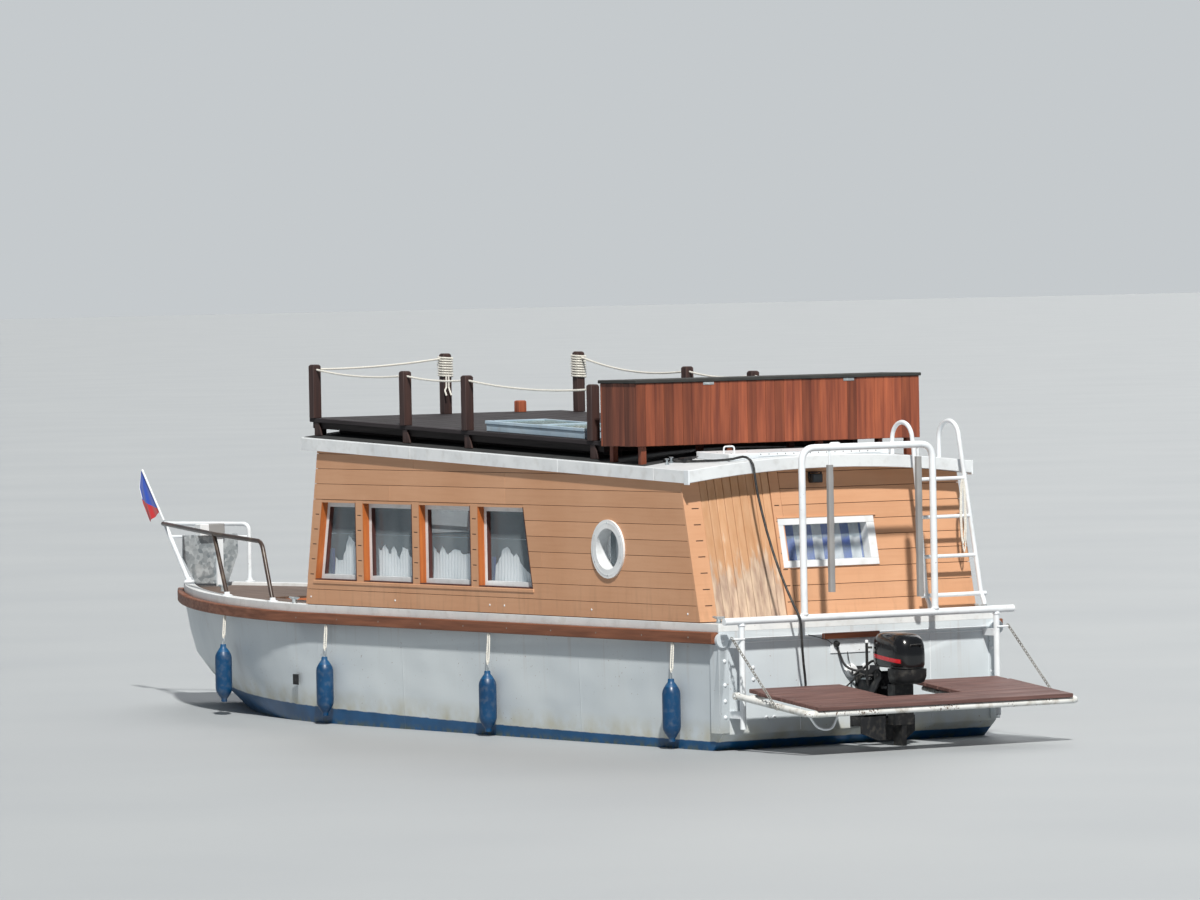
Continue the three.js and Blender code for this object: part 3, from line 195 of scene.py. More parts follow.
class Finish(NodeTree):
    """A material under way, in Object coordinates."""

    def __init__(self, name, roughness, metallic=0.0, **constants):
        self.material = bpy.data.materials.new(name)
        self.material.use_nodes = True
        self.tree = self.material.node_tree
        self.shader = self.tree.nodes["Principled BSDF"]
        self.shader.inputs["Roughness"].default_value = roughness
        self.shader.inputs["Metallic"].default_value = metallic
        for socket, value in constants.items():
            self.shader.inputs[socket.replace("_", " ")].default_value = value
        self.place = self.add("ShaderNodeTexCoord")["Object"]

    def sum(self, first, second):
        return self.calc("ADD", first, second)

    def noise(self, scale, detail, stretch=(1, 1, 1)):
        place = self.add("ShaderNodeMapping", {"Vector": self.place, "Scale": stretch})[0]
        return self.add("ShaderNodeTexNoise", {"Vector": place, "Scale": scale, "Detail": detail})["Fac"]

    def cells(self, scale):
        return self.add("ShaderNodeTexVoronoi", {"Vector": self.place, "Scale": scale})["Color"]

    def axes(self):
        parts = self.add("ShaderNodeSeparateXYZ", {0: self.place})
        return parts["X"], parts["Y"], parts["Z"]

    def own(self, name):
        return self.add("ShaderNodeAttribute", attribute_name=name)["Fac"]

    def between(self, value, low, high, start=0.0, end=1.0):
        sockets = {"Value": value, "From Min": low, "From Max": high, "To Min": start, "To Max": end}
        return self.add("ShaderNodeMapRange", sockets)[0]

    def mixed(self, factor, first, second, blend="MIX"):
        sockets = {0: factor, 6: first, 7: second}
        return self.add("ShaderNodeMix", sockets, data_type="RGBA", blend_type=blend)[2]

    def toned(self, colour, spread=0.35):
        """The colour, lighter or darker by the piece's own tone."""
        level = self.between(self.own("tone"), 0, 1, 1 - spread, 1 + spread)
        grey = self.add("ShaderNodeCombineColor", {0: level, 1: level, 2: level})[0]
        return self.mixed(1.0, colour, grey, "MULTIPLY")

    def done(self, colour, roughness=None, height=None, depth=0.002, strength=0.6):
        self.fill(self.shader.inputs["Base Color"], colour)
        self.fill(self.shader.inputs["Roughness"], roughness)
        if height is not None:
            sockets = {"Height": height, "Distance": depth, "Strength": strength}
            self.fill(self.shader.inputs["Normal"], self.add("ShaderNodeBump", sockets)[0])
        return self.material


def hull_paint():
    """White topsides over a blue bottom, with weld seams, rust runs and scum at the waterline."""
    f = Finish("hull_paint", 0.4)
    x, _, z = f.axes()
    boot = f.sum(f.calc("MULTIPLY", f.calc("MULTIPLY", x, x), 0.0019), 0.066)
    above = f.calc("SUBTRACT", z, boot)
    wobble = f.calc("MULTIPLY", f.calc("SUBTRACT", f.noise(14, 2), 0.5), 0.012)
    above = f.sum(above, wobble)
    clouds = f.noise(1.1, 3)
    white = f.mixed(f.between(clouds, 0.35, 0.65), srgb(208, 216, 220), srgb(197, 206, 212))
    runs = f.calc("MULTIPLY", f.between(f.noise(22, 3, (1, 1, 0.045)), 0.58, 0.74), f.between(z, 0.25, 0.8))
    white = f.mixed(f.calc("MULTIPLY", runs, 0.22), white, srgb(150, 120, 90))
    scum = f.calc("MULTIPLY", f.between(above, 0.16, 0.0), f.between(f.noise(7, 4), 0.3, 0.7))
    white = f.mixed(f.calc("MULTIPLY", scum, 0.75), white, srgb(176, 168, 132))
    specks = f.calc("MULTIPLY", f.between(f.noise(55, 2), 0.7, 0.74), f.between(f.noise(3, 2), 0.5, 0.62))
    white = f.mixed(f.calc("MULTIPLY", specks, 0.8), white, srgb(120, 78, 48))
    blue = f.mixed(f.between(f.noise(6, 5), 0.3, 0.7), srgb(0, 68, 110), srgb(4, 82, 132))
    slime = f.calc("MULTIPLY", f.between(z, 0.05, 0.0), f.between(f.noise(18, 4), 0.42, 0.6))
    blue = f.mixed(f.calc("MULTIPLY", slime, 0.7), blue, srgb(92, 98, 62))
    colour = f.mixed(f.between(above, 0.003, -0.003), white, blue)
    bay = f.calc("ABSOLUTE", f.calc("SUBTRACT", f.calc("FRACT", f.calc("MULTIPLY", x, 0.82)), 0.5))
    seam = f.between(bay, 0.008, 0.0)
    wavy = f.calc("MULTIPLY", f.noise(1.7, 1, (1, 1, 1.6)), 2.2)
    relief = f.sum(f.sum(wavy, f.calc("MULTIPLY", seam, 0.12)), f.calc("MULTIPLY", f.noise(120, 2), 0.03))
    return f.done(colour, f.between(clouds, 0.3, 0.7, 0.33, 0.48), relief, 0.02, 0.5)


def enamel(name, light, dark, chips=0.68, grime=0.35, roughness=0.38):
    """Brushed paint on steel, with grime and with chips that have rusted."""
    f = Finish(name, roughness)
    colour = f.mixed(f.between(f.noise(4, 4), 0.3, 0.7), light, dark)
    dirt = f.calc("MULTIPLY", f.between(f.noise(13, 5), 0.5, 0.75), grime)
    colour = f.mixed(dirt, colour, srgb(140, 128, 108))
    spots = f.between(f.noise(75, 3), chips, chips + 0.02)
    worn = f.calc("MULTIPLY", spots, f.between(f.noise(5, 2), 0.52, 0.58))
    colour = f.mixed(worn, colour, srgb(86, 58, 40))
    relief = f.calc("SUBTRACT", f.calc("MULTIPLY", f.noise(160, 2), 0.4), worn)
    return f.done(colour, f.between(worn, 0, 1, roughness, 0.85), relief, 0.001, 0.5)


def wood(name, light, dark, along, roughness, spread=0.22, ring=38.0):
    """Boards with their grain along one axis and a tone of their own."""
    f = Finish(name, roughness)
    grain = f.noise(ring, 6, tuple(0.06 if axis == along else 1.0 for axis in "xyz"))
    broad = f.noise(5, 3, tuple(0.25 if axis == along else 1.0 for axis in "xyz"))
    colour = f.mixed(f.between(grain, 0.32, 0.68), dark, light)
    colour = f.mixed(f.between(broad, 0.35, 0.7, 0.0, 0.45), colour, dark)
    gloss = f.between(grain, 0.3, 0.7, roughness + 0.1, roughness - 0.05)
    return f.done(f.toned(colour, spread), gloss, grain, 0.0015, 0.6)


def siding_paint():
    """Tan satin paint on boards, with dusty streaks that grow toward the foot of the walls."""
    f = Finish("siding_paint", 0.55)
    height = f.axes()[2]
    fine = f.noise(48, 5, (0.05, 0.05, 1))
    broad = f.noise(1.6, 4)
    colour = f.mixed(f.between(broad, 0.35, 0.7), srgb(207, 159, 124), srgb(198, 148, 112))
    colour = f.mixed(f.between(fine, 0.45, 0.8, 0.0, 0.18), colour, srgb(168, 116, 78))
    streaks = f.between(f.noise(20, 4, (1, 1, 0.12)), 0.52, 0.8)
    dirt = f.calc("MULTIPLY", streaks, f.between(height, 1.3, 0.92))
    colour = f.mixed(f.calc("MULTIPLY", dirt, 0.4), colour, srgb(140, 112, 84))
    return f.done(f.toned(colour, 0.07), 0.55, fine, 0.001, 0.4)


def worn_boards():
    """Orange paint that the sun has taken off the lower half of the boards."""
    f = Finish("worn_boards", 0.7)
    height = f.axes()[2]
    streak = f.noise(26, 5, (1, 1, 0.07))
    patch = f.noise(7, 4, (1, 1, 0.3))
    paint = f.mixed(f.between(streak, 0.3, 0.7), srgb(187, 140, 101), srgb(200, 158, 123))
    bare = f.mixed(f.between(streak, 0.35, 0.65), srgb(164, 138, 122), srgb(206, 182, 158))
    low = f.between(height, 1.72, 1.05, -0.42, 0.42)
    worn = f.sum(low, f.sum(f.calc("MULTIPLY", streak, 0.9), patch))
    colour = f.mixed(f.between(worn, 0.92, 1.08), paint, bare)
    return f.done(f.toned(colour, 0.1), 0.7, streak, 0.002, 0.6)


def roof_paint():
    """White deck paint with grey patches and dirt."""
    f = Finish("roof_paint", 0.45)
    patches = f.noise(2.2, 5)
    colour = f.mixed(f.between(patches, 0.4, 0.75), srgb(222, 227, 230), srgb(206, 211, 215))
    dirt = f.calc("MULTIPLY", f.between(f.noise(16, 6), 0.52, 0.8), 0.22)
    colour = f.mixed(dirt, colour, srgb(128, 122, 108))
    return f.done(colour, 0.45, f.noise(3, 3), 0.006, 0.5)


def felt(name, dark, light):
    """Roofing felt with a mineral face."""
    f = Finish(name, 0.9)
    colour = f.mixed(f.between(f.noise(9, 5), 0.3, 0.7), dark, light)
    return f.done(colour, 0.9, f.noise(260, 3), 0.001, 0.8)


def zinc():
    """Galvanised sheet with its spangle."""
    f = Finish("zinc", 0.45, 0.55)
    spangle = f.cells(34)
    level = f.add("ShaderNodeSeparateColor", {0: spangle})[0]
    colour = f.mixed(level, srgb(142, 152, 158), srgb(196, 204, 208))
    colour = f.mixed(f.between(f.noise(9, 5), 0.5, 0.75, 0.0, 0.7), colour, srgb(214, 220, 222))
    return f.done(colour, f.between(level, 0, 1, 0.35, 0.6), level, 0.0004, 0.3)


def moulded(name, light, dark, roughness):
    """Moulded plastic or rubber, a little faded."""
    f = Finish(name, roughness)
    colour = f.mixed(f.between(f.noise(6, 4), 0.3, 0.7), dark, light)
    dust = f.between(f.noise(24, 5), 0.5, 0.85, 0.0, 0.3)
    colour = f.mixed(dust, colour, srgb(132, 128, 118))
    gloss = f.between(f.noise(18, 3), 0.3, 0.7, roughness - 0.06, roughness + 0.12)
    return f.done(colour, gloss, f.noise(220, 2), 0.0004, 0.6)


def woven(name, light, dark, scale=420.0, sheen=0.4):
    f = Finish(name, 0.9)
    f.shader.inputs["Sheen Weight"].default_value = sheen
    weave = f.noise(scale, 2)
    colour = f.mixed(f.between(weave, 0.35, 0.65), dark, light)
    return f.done(colour, 0.92, weave, 0.0008, 0.7)


def window_glass():
    # The pane's pale grey-blue colour is a painted reflection, in smeared patches that also vary its gloss.
    f = Finish("window_glass", 0.04, IOR=1.5, Alpha=0.27)
    smear_and_reflection = f.noise(5, 5, (1, 1, 0.3))
    colour = f.mixed(f.between(smear_and_reflection, 0.35, 0.7), srgb(150, 168, 178), srgb(192, 206, 214))
    f.material.blend_method = "BLEND"
    return f.done(colour, f.between(smear_and_reflection, 0.3, 0.8, 0.03, 0.16))


def striped_curtain():
    """Cotton with broad blue stripes down the cloth."""
    f = Finish("striped_curtain", 0.9)
    f.shader.inputs["Sheen Weight"].default_value = 0.3
    across = f.add("ShaderNodeUVMap", uv_map="cloth")[0]
    u = f.add("ShaderNodeSeparateXYZ", {0: across})["X"]
    beat = f.calc("FRACT", f.calc("MULTIPLY", u, 5.4))
    stripe = f.calc("MULTIPLY", f.between(beat, 0.02, 0.05), f.between(beat, 0.5, 0.47))
    colour = f.mixed(stripe, srgb(240, 242, 246), srgb(6, 70, 190))
    return f.done(colour, 0.9, f.noise(500, 2), 0.0006, 0.6)


def net():
    """White net with a faint light of its own, for the daylight that comes through the cabin."""
    f = Finish("net", 0.95)
    f.shader.inputs["Sheen Weight"].default_value = 0.3
    f.shader.inputs["Emission Color"].default_value = (0.80, 0.88, 0.95, 1.0)
    f.shader.inputs["Emission Strength"].default_value = 0.14
    thread = f.noise(160, 3)
    colour = f.mixed(f.between(thread, 0.35, 0.65), srgb(236, 240, 243), srgb(252, 253, 253))
    return f.done(colour, 0.95, thread, 0.0008, 0.6)


def flag_cloth():
    """Blue over red, with a thin white line down the free edge."""
    f = Finish("flag_cloth", 0.8)
    f.shader.inputs["Sheen Weight"].default_value = 0.3
    place = f.add("ShaderNodeSeparateXYZ", {0: f.add("ShaderNodeUVMap", uv_map="cloth")[0]})
    u, v = place["X"], place["Y"]
    above = f.calc("SUBTRACT", v, f.calc("MULTIPLY", u, 0.34))
    colour = f.mixed(f.between(above, 0.075, 0.085), srgb(192, 22, 30), srgb(8, 72, 184))
    line = f.calc("MULTIPLY", f.between(u, 0.955, 0.962), f.between(v, 0.42, 0.45))
    colour = f.mixed(line, colour, srgb(238, 240, 242))
    return f.done(colour, 0.8, f.noise(700, 2), 0.0004, 0.6)


def cowl_gloss():
    """Black lacquer with a red band along the side."""
    f = Finish("cowl_gloss", 0.18, Coat_Weight=0.3)
    x, y, z = f.axes()
    rise = f.calc("MULTIPLY", f.calc("ADD", x, 0.4), 0.12)
    mid = f.calc("ABSOLUTE", f.calc("SUBTRACT", f.calc("SUBTRACT", z, rise), 0.628))
    side = f.between(f.calc("ABSOLUTE", f.calc("ADD", y, 0.06)), 0.085, 0.1)
    band = f.calc("MULTIPLY", f.between(mid, 0.015, 0.0135), side)
    band = f.calc("MULTIPLY", band, f.between(x, -0.575, -0.565))
    band = f.calc("MULTIPLY", band, f.between(x, -0.235, -0.245))
    black = f.mixed(f.between(f.noise(5, 4), 0.3, 0.7), srgb(9, 10, 12), srgb(16, 17, 20))
    colour = f.mixed(band, black, srgb(206, 34, 44))
    return f.done(colour, f.between(f.noise(12, 4), 0.3, 0.7, 0.14, 0.3), f.noise(2, 2), 0.002, 0.2)


WHITE_DARK = srgb(205, 208, 206)
RAIL_WHITE = enamel("rail_white", srgb(232, 237, 241), srgb(220, 226, 231), 0.72, 0.15)
DECK_WHITE = enamel("deck_white", srgb(230, 232, 232), srgb(214, 218, 220), 0.72, 0.22)
CHIPPED_WHITE = enamel("chipped_white", srgb(230, 231, 229), WHITE_DARK, 0.58, 0.7)
FRAME_WHITE = enamel("frame_white", srgb(234, 237, 239), srgb(216, 220, 223), 0.8, 0.2)
DARK_RAIL = enamel("dark_rail", srgb(74, 60, 54), srgb(52, 42, 38), 0.7, 0.3, 0.35)
HULL = hull_paint()
ROOF = roof_paint()
SIDING = siding_paint()
WORN = worn_boards()
RUB_WOOD = wood("rub_wood", srgb(142, 88, 60), srgb(104, 62, 42), "x", 0.55)
ORANGE_WOOD = wood("orange_wood", srgb(188, 108, 52), srgb(160, 86, 38), "z", 0.45, 0.1)
FLOOR_WOOD = wood("floor_wood", srgb(105, 85, 72), srgb(80, 64, 54), "x", 0.7)
WELL_WOOD = wood("well_wood", srgb(200, 118, 66), srgb(160, 88, 50), "x", 0.6)
DECK_WOOD = wood("deck_wood", srgb(47, 41, 44), srgb(32, 27, 30), "x", 0.8, 0.18)
POST_WOOD = wood("post_wood", srgb(72, 51, 46), srgb(46, 31, 30), "z", 0.5, 0.1)
BAR_WOOD = wood("bar_wood", srgb(155, 85, 57), srgb(110, 55, 39), "z", 0.5, 0.42, 30.0)
# Darker wood for the box's two ends: partly weathered boards, partly painted shade on the ends.
BAR_END_WOOD_AND_SHADE = wood("bar_end_wood_and_painted_shade", srgb(120, 68, 48), srgb(88, 46, 34), "z", 0.55, 0.3, 30.0)
# Near-black wood for the blocks in the notches of the strips: painted shade inside the slots.
SLOT_SHADE = wood("slot_painted_shade", srgb(62, 40, 30), srgb(46, 30, 24), "x", 0.8)
BACKING = wood("backing_wood", srgb(112, 74, 50), srgb(90, 58, 40), "x", 0.8)
STEP_WOOD = wood("step_wood", srgb(122, 90, 84), srgb(88, 62, 58), "y", 0.65, 0.16)
# Near-black wood under the deck: painted shade for the deep shade between the roof and the deck.
UNDER_DECK_SHADE_WOOD = wood("under_deck_painted_shade", srgb(40, 30, 29), srgb(24, 18, 18), "x", 0.7)
STUB_WOOD = wood("stub_wood", srgb(168, 92, 60), srgb(120, 58, 38), "z", 0.6)
PAD_WOOD = wood("pad_wood", srgb(178, 106, 70), srgb(128, 70, 46), "y", 0.6)
# Dark copy of the orange wood: painted shade on the window sills, aft edges and jambs.
JAMB_SHADE_WOOD = wood("jamb_painted_shade", srgb(96, 50, 42), srgb(54, 30, 28), "z", 0.6)
FELT = felt("felt", srgb(43, 44, 43), srgb(56, 57, 56))
# Dark felt over the roof forward of the panel; its darkness also stands in for the deep shade under the deck,
# as painted shade.
ROOF_FELT_AND_SHADE = felt("roof_felt_and_painted_shade", srgb(34, 36, 38), srgb(52, 54, 55))
ZINC = zinc()
CHAIN_STEEL = moulded("chain_steel", srgb(168, 168, 164), srgb(104, 100, 94), 0.4)
SLEEVE = moulded("sleeve_foam", srgb(150, 150, 150), srgb(136, 136, 137), 0.7)
FENDER_BLUE = moulded("fender_blue", srgb(0, 66, 108), srgb(0, 52, 90), 0.35)
FENDER_PALE = moulded("fender_pale", srgb(6, 80, 126), srgb(4, 68, 110), 0.4)
BLACK_PLASTIC = moulded("black_plastic", srgb(24, 25, 28), srgb(14, 15, 17), 0.5)
HOSE_RUBBER = moulded("hose_rubber", srgb(44, 45, 48), srgb(26, 27, 29), 0.55)
MOTOR_GREY = moulded("motor_grey", srgb(36, 38, 42), srgb(22, 24, 27), 0.55)
LAMP_GLASS = moulded("lamp_glass", srgb(60, 64, 68), srgb(34, 36, 40), 0.1)
SKY_GLASS = moulded("sky_glass", srgb(112, 134, 122), srgb(84, 106, 98), 0.12)
SKY_FRAME = enamel("sky_frame", srgb(176, 196, 210), srgb(150, 172, 190), 0.8, 0.25)
COWL = cowl_gloss()
ROPE = woven("rope_white", srgb(236, 235, 228), srgb(200, 197, 188), 260.0, 0.2)
UPHOLSTERY = woven("upholstery", srgb(86, 104, 128), srgb(60, 76, 98))
GLASS = window_glass()
NET = net()
CURTAIN_BLUE = woven("curtain_blue", srgb(44, 62, 140), srgb(28, 42, 104))
STRIPES = striped_curtain()
FLAG = flag_cloth()


# Shapes
def turns(count, start=0.0):
    """Angles at even steps round a circle, begun a share of a step on."""
    return [2 * math.pi * (k + start) / count for k in range(count)]


def squared(angle, power):
    """A point of the unit circle, pressed toward a square by a power below one."""
    c, s = math.cos(angle), math.sin(angle)
    return math.copysign(abs(c) ** power, c), math.copysign(abs(s) ** power, s)


def rectangle(u0, u1, v0, v1):
    return [(u0, v0), (u1, v0), (u1, v1), (u0, v1)]


def ease(mesh, width):
    """Bevels the edges that turn by more than 40 degrees."""
    edges = [
        edge for edge in mesh.edges
        if len(edge.link_faces) == 2 and edge.calc_face_angle(0.0) > math.radians(40.0)
    ]
    bmesh.ops.bevel(mesh, geom=edges, offset=width, segments=1, affect="EDGES", clamp_overlap=True)


class Shape:
    """A mesh under way; each face carries a tone that its finish reads."""

    def __init__(self):
        self.mesh = bmesh.new()
        self.tone = self.mesh.faces.layers.float.new("tone")

    def take(self, mesh):
        """Starts from a finished mesh, with its tones where it has them."""
        self.mesh.clear()
        self.mesh.from_mesh(mesh)
        layers = self.mesh.faces.layers.float
        self.tone = layers.get("tone") or layers.new("tone")

    def faces(self, corners, loops, tone=0.5):
        points = [self.mesh.verts.new(corner) for corner in corners]
        for loop in loops:
            face = self.mesh.faces.new([points[index] for index in loop])
            face[self.tone] = tone

    def prism(self, outline, near, far, tone=0.5, at=None):
        """An outline of (u, v) between two depths, set in place by the function at(u, v, depth)."""
        at = at or (lambda u, v, depth: Vector((u, v, depth)))
        count = len(outline)
        corners = [at(u, v, depth) for depth in (near, far) for u, v in outline]
        loops = [tuple(range(count))[::-1], tuple(range(count, 2 * count))]
        loops += [(i, (i + 1) % count, count + (i + 1) % count, count + i) for i in range(count)]
        self.faces(corners, loops, tone)

    def block(self, x0, x1, y0, y1, z0, z1, tone=0.5, at=None):
        self.prism(rectangle(x0, x1, y0, y1), z0, z1, tone, at)

    def rings(self, rings, closed=False):
        """Rings of equal counts of points joined in order, capped unless the row of rings is closed."""
        count = len(rings[0])
        corners = [point for ring in rings for point in ring]
        loops = []
        for ring in range(len(rings) if closed else len(rings) - 1):
            start, after = ring * count, ((ring + 1) % len(rings)) * count
            for i in range(count):
                step = (i + 1) % count
                loops.append((start + i, start + step, after + step, after + i))
        if not closed:
            loops += [tuple(range(count))[::-1], tuple(range(len(corners) - count, len(corners)))]
        self.faces(corners, loops)

    def tube(self, points, radius, sides=12, closed=False):
        """A round tube along the points, of one radius or of a radius for each point."""
        points = [Vector(point) for point in points]
        count = len(points)
        side = None
        rings = []
        for i, point in enumerate(points):
            before = points[i - 1] if i or closed else point
            after = points[(i + 1) % count] if i < count - 1 or closed else point
            along = (after - before).normalized()
            side = along.orthogonal() if side is None else side - along * side.dot(along)
            side.normalize()
            across = along.cross(side)
            reach = radius[i] if isinstance(radius, list) else radius
            rings.append([point + (side * math.cos(a) + across * math.sin(a)) * reach for a in turns(sides)])
        self.rings(rings, closed)

    def turned(self, profile, foot, axis, steps=24):
        """A profile of (radius, height) turned about an axis from its foot."""
        axis = Vector(axis).normalized()
        side = axis.orthogonal().normalized()
        across = axis.cross(side)
        rings = []
        for radius, height in profile:
            centre = Vector(foot) + axis * height
            reach = max(radius, 0.0002)
            rings.append([centre + (side * math.cos(a) + across * math.sin(a)) * reach for a in turns(steps)])
        self.rings(rings)

    def hoop(self, profile, foot, axis, steps):
        """A closed profile of (radius, height) turned about an axis that runs along y."""
        rings = []
        for a in turns(steps):
            out = Vector((math.cos(a), 0, math.sin(a)))
            rings.append([foot + out * radius + axis * height for radius, height in profile])
        self.rings(rings, closed=True)

    def ball(self, centre, radius, flat):
        arc = [math.pi * k / 10 for k in range(11)]
        profile = [(radius * math.sin(a), -radius * flat * math.cos(a)) for a in arc]
        self.turned(profile, centre, (0, 0, 1), 12)

    def warp(self, move):
        for vertex in self.mesh.verts:
            vertex.co = move(vertex.co)

    def chamfer(self, width):
        bmesh.ops.recalc_face_normals(self.mesh, faces=self.mesh.faces)
        ease(self.mesh, width)

    def made(self, name, finish, body="hull", replaces=(), smooth=32.0):
        bmesh.ops.recalc_face_normals(self.mesh, faces=self.mesh.faces)
        mesh = bpy.data.meshes.new(name)
        self.mesh.to_mesh(mesh)
        self.mesh.free()
        return finished(name, mesh, finish, body, replaces, smooth)


def finished(name, mesh, finish, body="hull", replaces=(), smooth=32.0):
    """The piece made of a mesh, riding its body and standing in for the solids it replaces."""
    mesh.shade_smooth()
    mesh.set_sharp_from_angle(angle=math.radians(smooth))
    mesh.materials.clear()
    mesh.materials.append(finish)
    piece = bpy.data.objects.new(name, mesh)
    bpy.context.scene.collection.objects.link(piece)
    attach(piece, body)
    if replaces:
        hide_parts(*replaces)
    return piece


def dressed(node, finish, body="hull", chamfer=0.003):
    """A merged copy of a solid with its edges eased, in place of the solid."""
    shape = Shape()
    shape.take(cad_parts[node].data)
    bmesh.ops.remove_doubles(shape.mesh, verts=shape.mesh.verts, dist=1e-5)
    bmesh.ops.dissolve_limit(
        shape.mesh, angle_limit=math.radians(0.4), verts=shape.mesh.verts, edges=shape.mesh.edges,
    )
    for face in shape.mesh.faces:
        face[shape.tone] = 0.5
    shape.chamfer(chamfer)
    shape.made(f"{node}_piece", finish, body, (node,))


def slab(name, finish, bounds, chamfer, replaces=(), smooth=32.0):
    """One block with its edges eased, between the bounds (x0, x1, y0, y1, z0, z1)."""
    shape = Shape()
    shape.block(*bounds)
    shape.chamfer(chamfer)
    shape.made(name, finish, replaces=replaces, smooth=smooth)


def painted(node, finish):
    """The solid itself, shown in a finish of this scene."""
    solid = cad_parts[node]
    if solid.material_slots:
        solid.material_slots[0].material = finish
    else:
        solid.data.materials.append(finish)


def clipped(outline, planes):
    """A convex outline cut back to where a * u + b * v <= c for each plane (a, b, c)."""
    for a, b, c in planes:
        kept = []
        for i, (u, v) in enumerate(outline):
            next_u, next_v = outline[(i + 1) % len(outline)]
            here, there = a * u + b * v - c, a * next_u + b * next_v - c
            if here <= 0:
                kept.append((u, v))
            if (here < 0 < there) or (there < 0 < here):
                share = here / (here - there)
                kept.append((u + (next_u - u) * share, v + (next_v - v) * share))
        outline = kept
        if len(outline) < 3:
            return []
    return outline


def rounded(corners, bend, steps=6):
    """A route with its corners rounded."""
    points = [Vector(corner) for corner in corners]
    route = [points[0]]
    for before, here, after in zip(points, points[1:], points[2:]):
        back, ahead = before - here, after - here
        reach = min(bend, back.length * 0.49, ahead.length * 0.49)
        start, end = here + back.normalized() * reach, here + ahead.normalized() * reach
        for k in range(steps + 1):
            t = k / steps
            route.append(start * (1 - t) ** 2 + here * 2 * t * (1 - t) + end * t ** 2)
    route.append(points[-1])
    return route


def hanging(start, end, sag):
    """The line of a rope between two points, with its sag."""
    start, end = Vector(start), Vector(end)
    line = []
    for k in range(19):
        t = k / 18
        line.append(start.lerp(end, t) - Vector((0, 0, 4 * sag * t * (1 - t))))
    return line


# Geometry trees
class Growth(NodeTree):
    """A geometry node tree under way, with named inputs."""

    KINDS = {int: "NodeSocketInt", float: "NodeSocketFloat", tuple: "NodeSocketVector"}

    def __init__(self, name, **sizes):
        self.tree = bpy.data.node_groups.new(name, "GeometryNodeTree")
        face = self.tree.interface
        face.new_socket("Geometry", in_out="INPUT", socket_type="NodeSocketGeometry")
        self.sockets = {}
        for label, value in sizes.items():
            socket = face.new_socket(label, in_out="INPUT", socket_type=self.KINDS[type(value)])
            socket.default_value = value
            self.sockets[label] = socket.identifier
        face.new_socket("Geometry", in_out="OUTPUT", socket_type="NodeSocketGeometry")
        self.given = self.tree.nodes.new("NodeGroupInput").outputs

    def scaled(self, label, share):
        """A share of the named input."""
        return self.calc("MULTIPLY", self.given[label], share)

    def close(self, geometry):
        real = self.add("GeometryNodeRealizeInstances", {"Geometry": geometry})[0]
        self.cover = self.tree.nodes.new("GeometryNodeSetMaterial")
        self.tree.links.new(real, self.cover.inputs["Geometry"])
        exit_node = self.tree.nodes.new("NodeGroupOutput")
        self.tree.links.new(self.cover.outputs[0], exit_node.inputs[0])
        return self

    def grow(self, name, finish, base=None, **sizes):
        """The plain mesh that the tree makes of a base mesh."""
        self.cover.inputs["Material"].default_value = finish
        base = base or bpy.data.meshes.new(f"{name}_base")
        holder = bpy.data.objects.new(f"{name}_holder", base)
        bpy.context.scene.collection.objects.link(holder)
        modifier = holder.modifiers.new("growth", "NODES")
        modifier.node_group = self.tree
        for label, value in sizes.items():
            modifier[self.sockets[label]] = value
        graph = bpy.context.evaluated_depsgraph_get()
        mesh = bpy.data.meshes.new_from_object(holder.evaluated_get(graph), depsgraph=graph)
        holder.modifiers.remove(modifier)
        bpy.data.objects.remove(holder)
        return mesh


def slat_tree():
    """A row of slats, each with a tone and a small shift of its own."""
    g = Growth("slats", Count=4, Start=(0.0, 0.0, 0.0), Step=(0.1, 0.0, 0.0), Size=(0.09, 1.0, 0.02),
               Shift=0.0, Seed=1)
    row = {"Count": g.given["Count"], "Start Location": g.given["Start"], "Offset": g.given["Step"]}
    line = g.add("GeometryNodeMeshLine", row)[0]
    slat = g.add("GeometryNodeMeshCube", {"Size": g.given["Size"]})["Mesh"]
    rows = g.add("GeometryNodeInstanceOnPoints", {"Points": line, "Instance": slat})[0]
    draws = g.add("FunctionNodeRandomValue", {"Seed": g.given["Seed"]}, data_type="FLOAT")
    tone = next(draw for draw in draws if draw.enabled and draw.name == "Value")
    named = g.tree.nodes.new("GeometryNodeStoreNamedAttribute")
    named.data_type = "FLOAT"
    named.domain = "INSTANCE"
    named.inputs["Name"].default_value = "tone"
    g.tree.links.new(rows, named.inputs["Geometry"])
    value = next(socket for socket in named.inputs if socket.enabled and socket.name == "Value")
    g.tree.links.new(tone, value)
    lurch = g.calc("MULTIPLY", g.calc("SUBTRACT", tone, 0.5), g.given["Shift"])
    offset = g.add("ShaderNodeCombineXYZ", {"Z": lurch})[0]
    placed = {"Instances": named.outputs[0], "Translation": offset}
    return g.close(g.add("GeometryNodeTranslateInstances", placed)[0])


def fastening_tree():
    """A domed head on every point of the base."""
    g = Growth("fastenings", Radius=0.01, Height=0.5, Turn=(0.0, 0.0, 0.0))
    ball = {"Segments": 10, "Rings": 6, "Radius": g.given["Radius"]}
    head = g.add("GeometryNodeMeshUVSphere", ball)["Mesh"]
    squash = g.add("ShaderNodeCombineXYZ", {"X": 1.0, "Y": 1.0, "Z": g.given["Height"]})[0]
    low = g.add("GeometryNodeTransform", {"Geometry": head, "Scale": squash})[0]
    crowd = g.add("GeometryNodeInstanceOnPoints", {"Points": g.given["Geometry"], "Instance": low})[0]
    turned = g.add("GeometryNodeRotateInstances", {"Instances": crowd, "Rotation": g.given["Turn"]})[0]
    return g.close(turned)


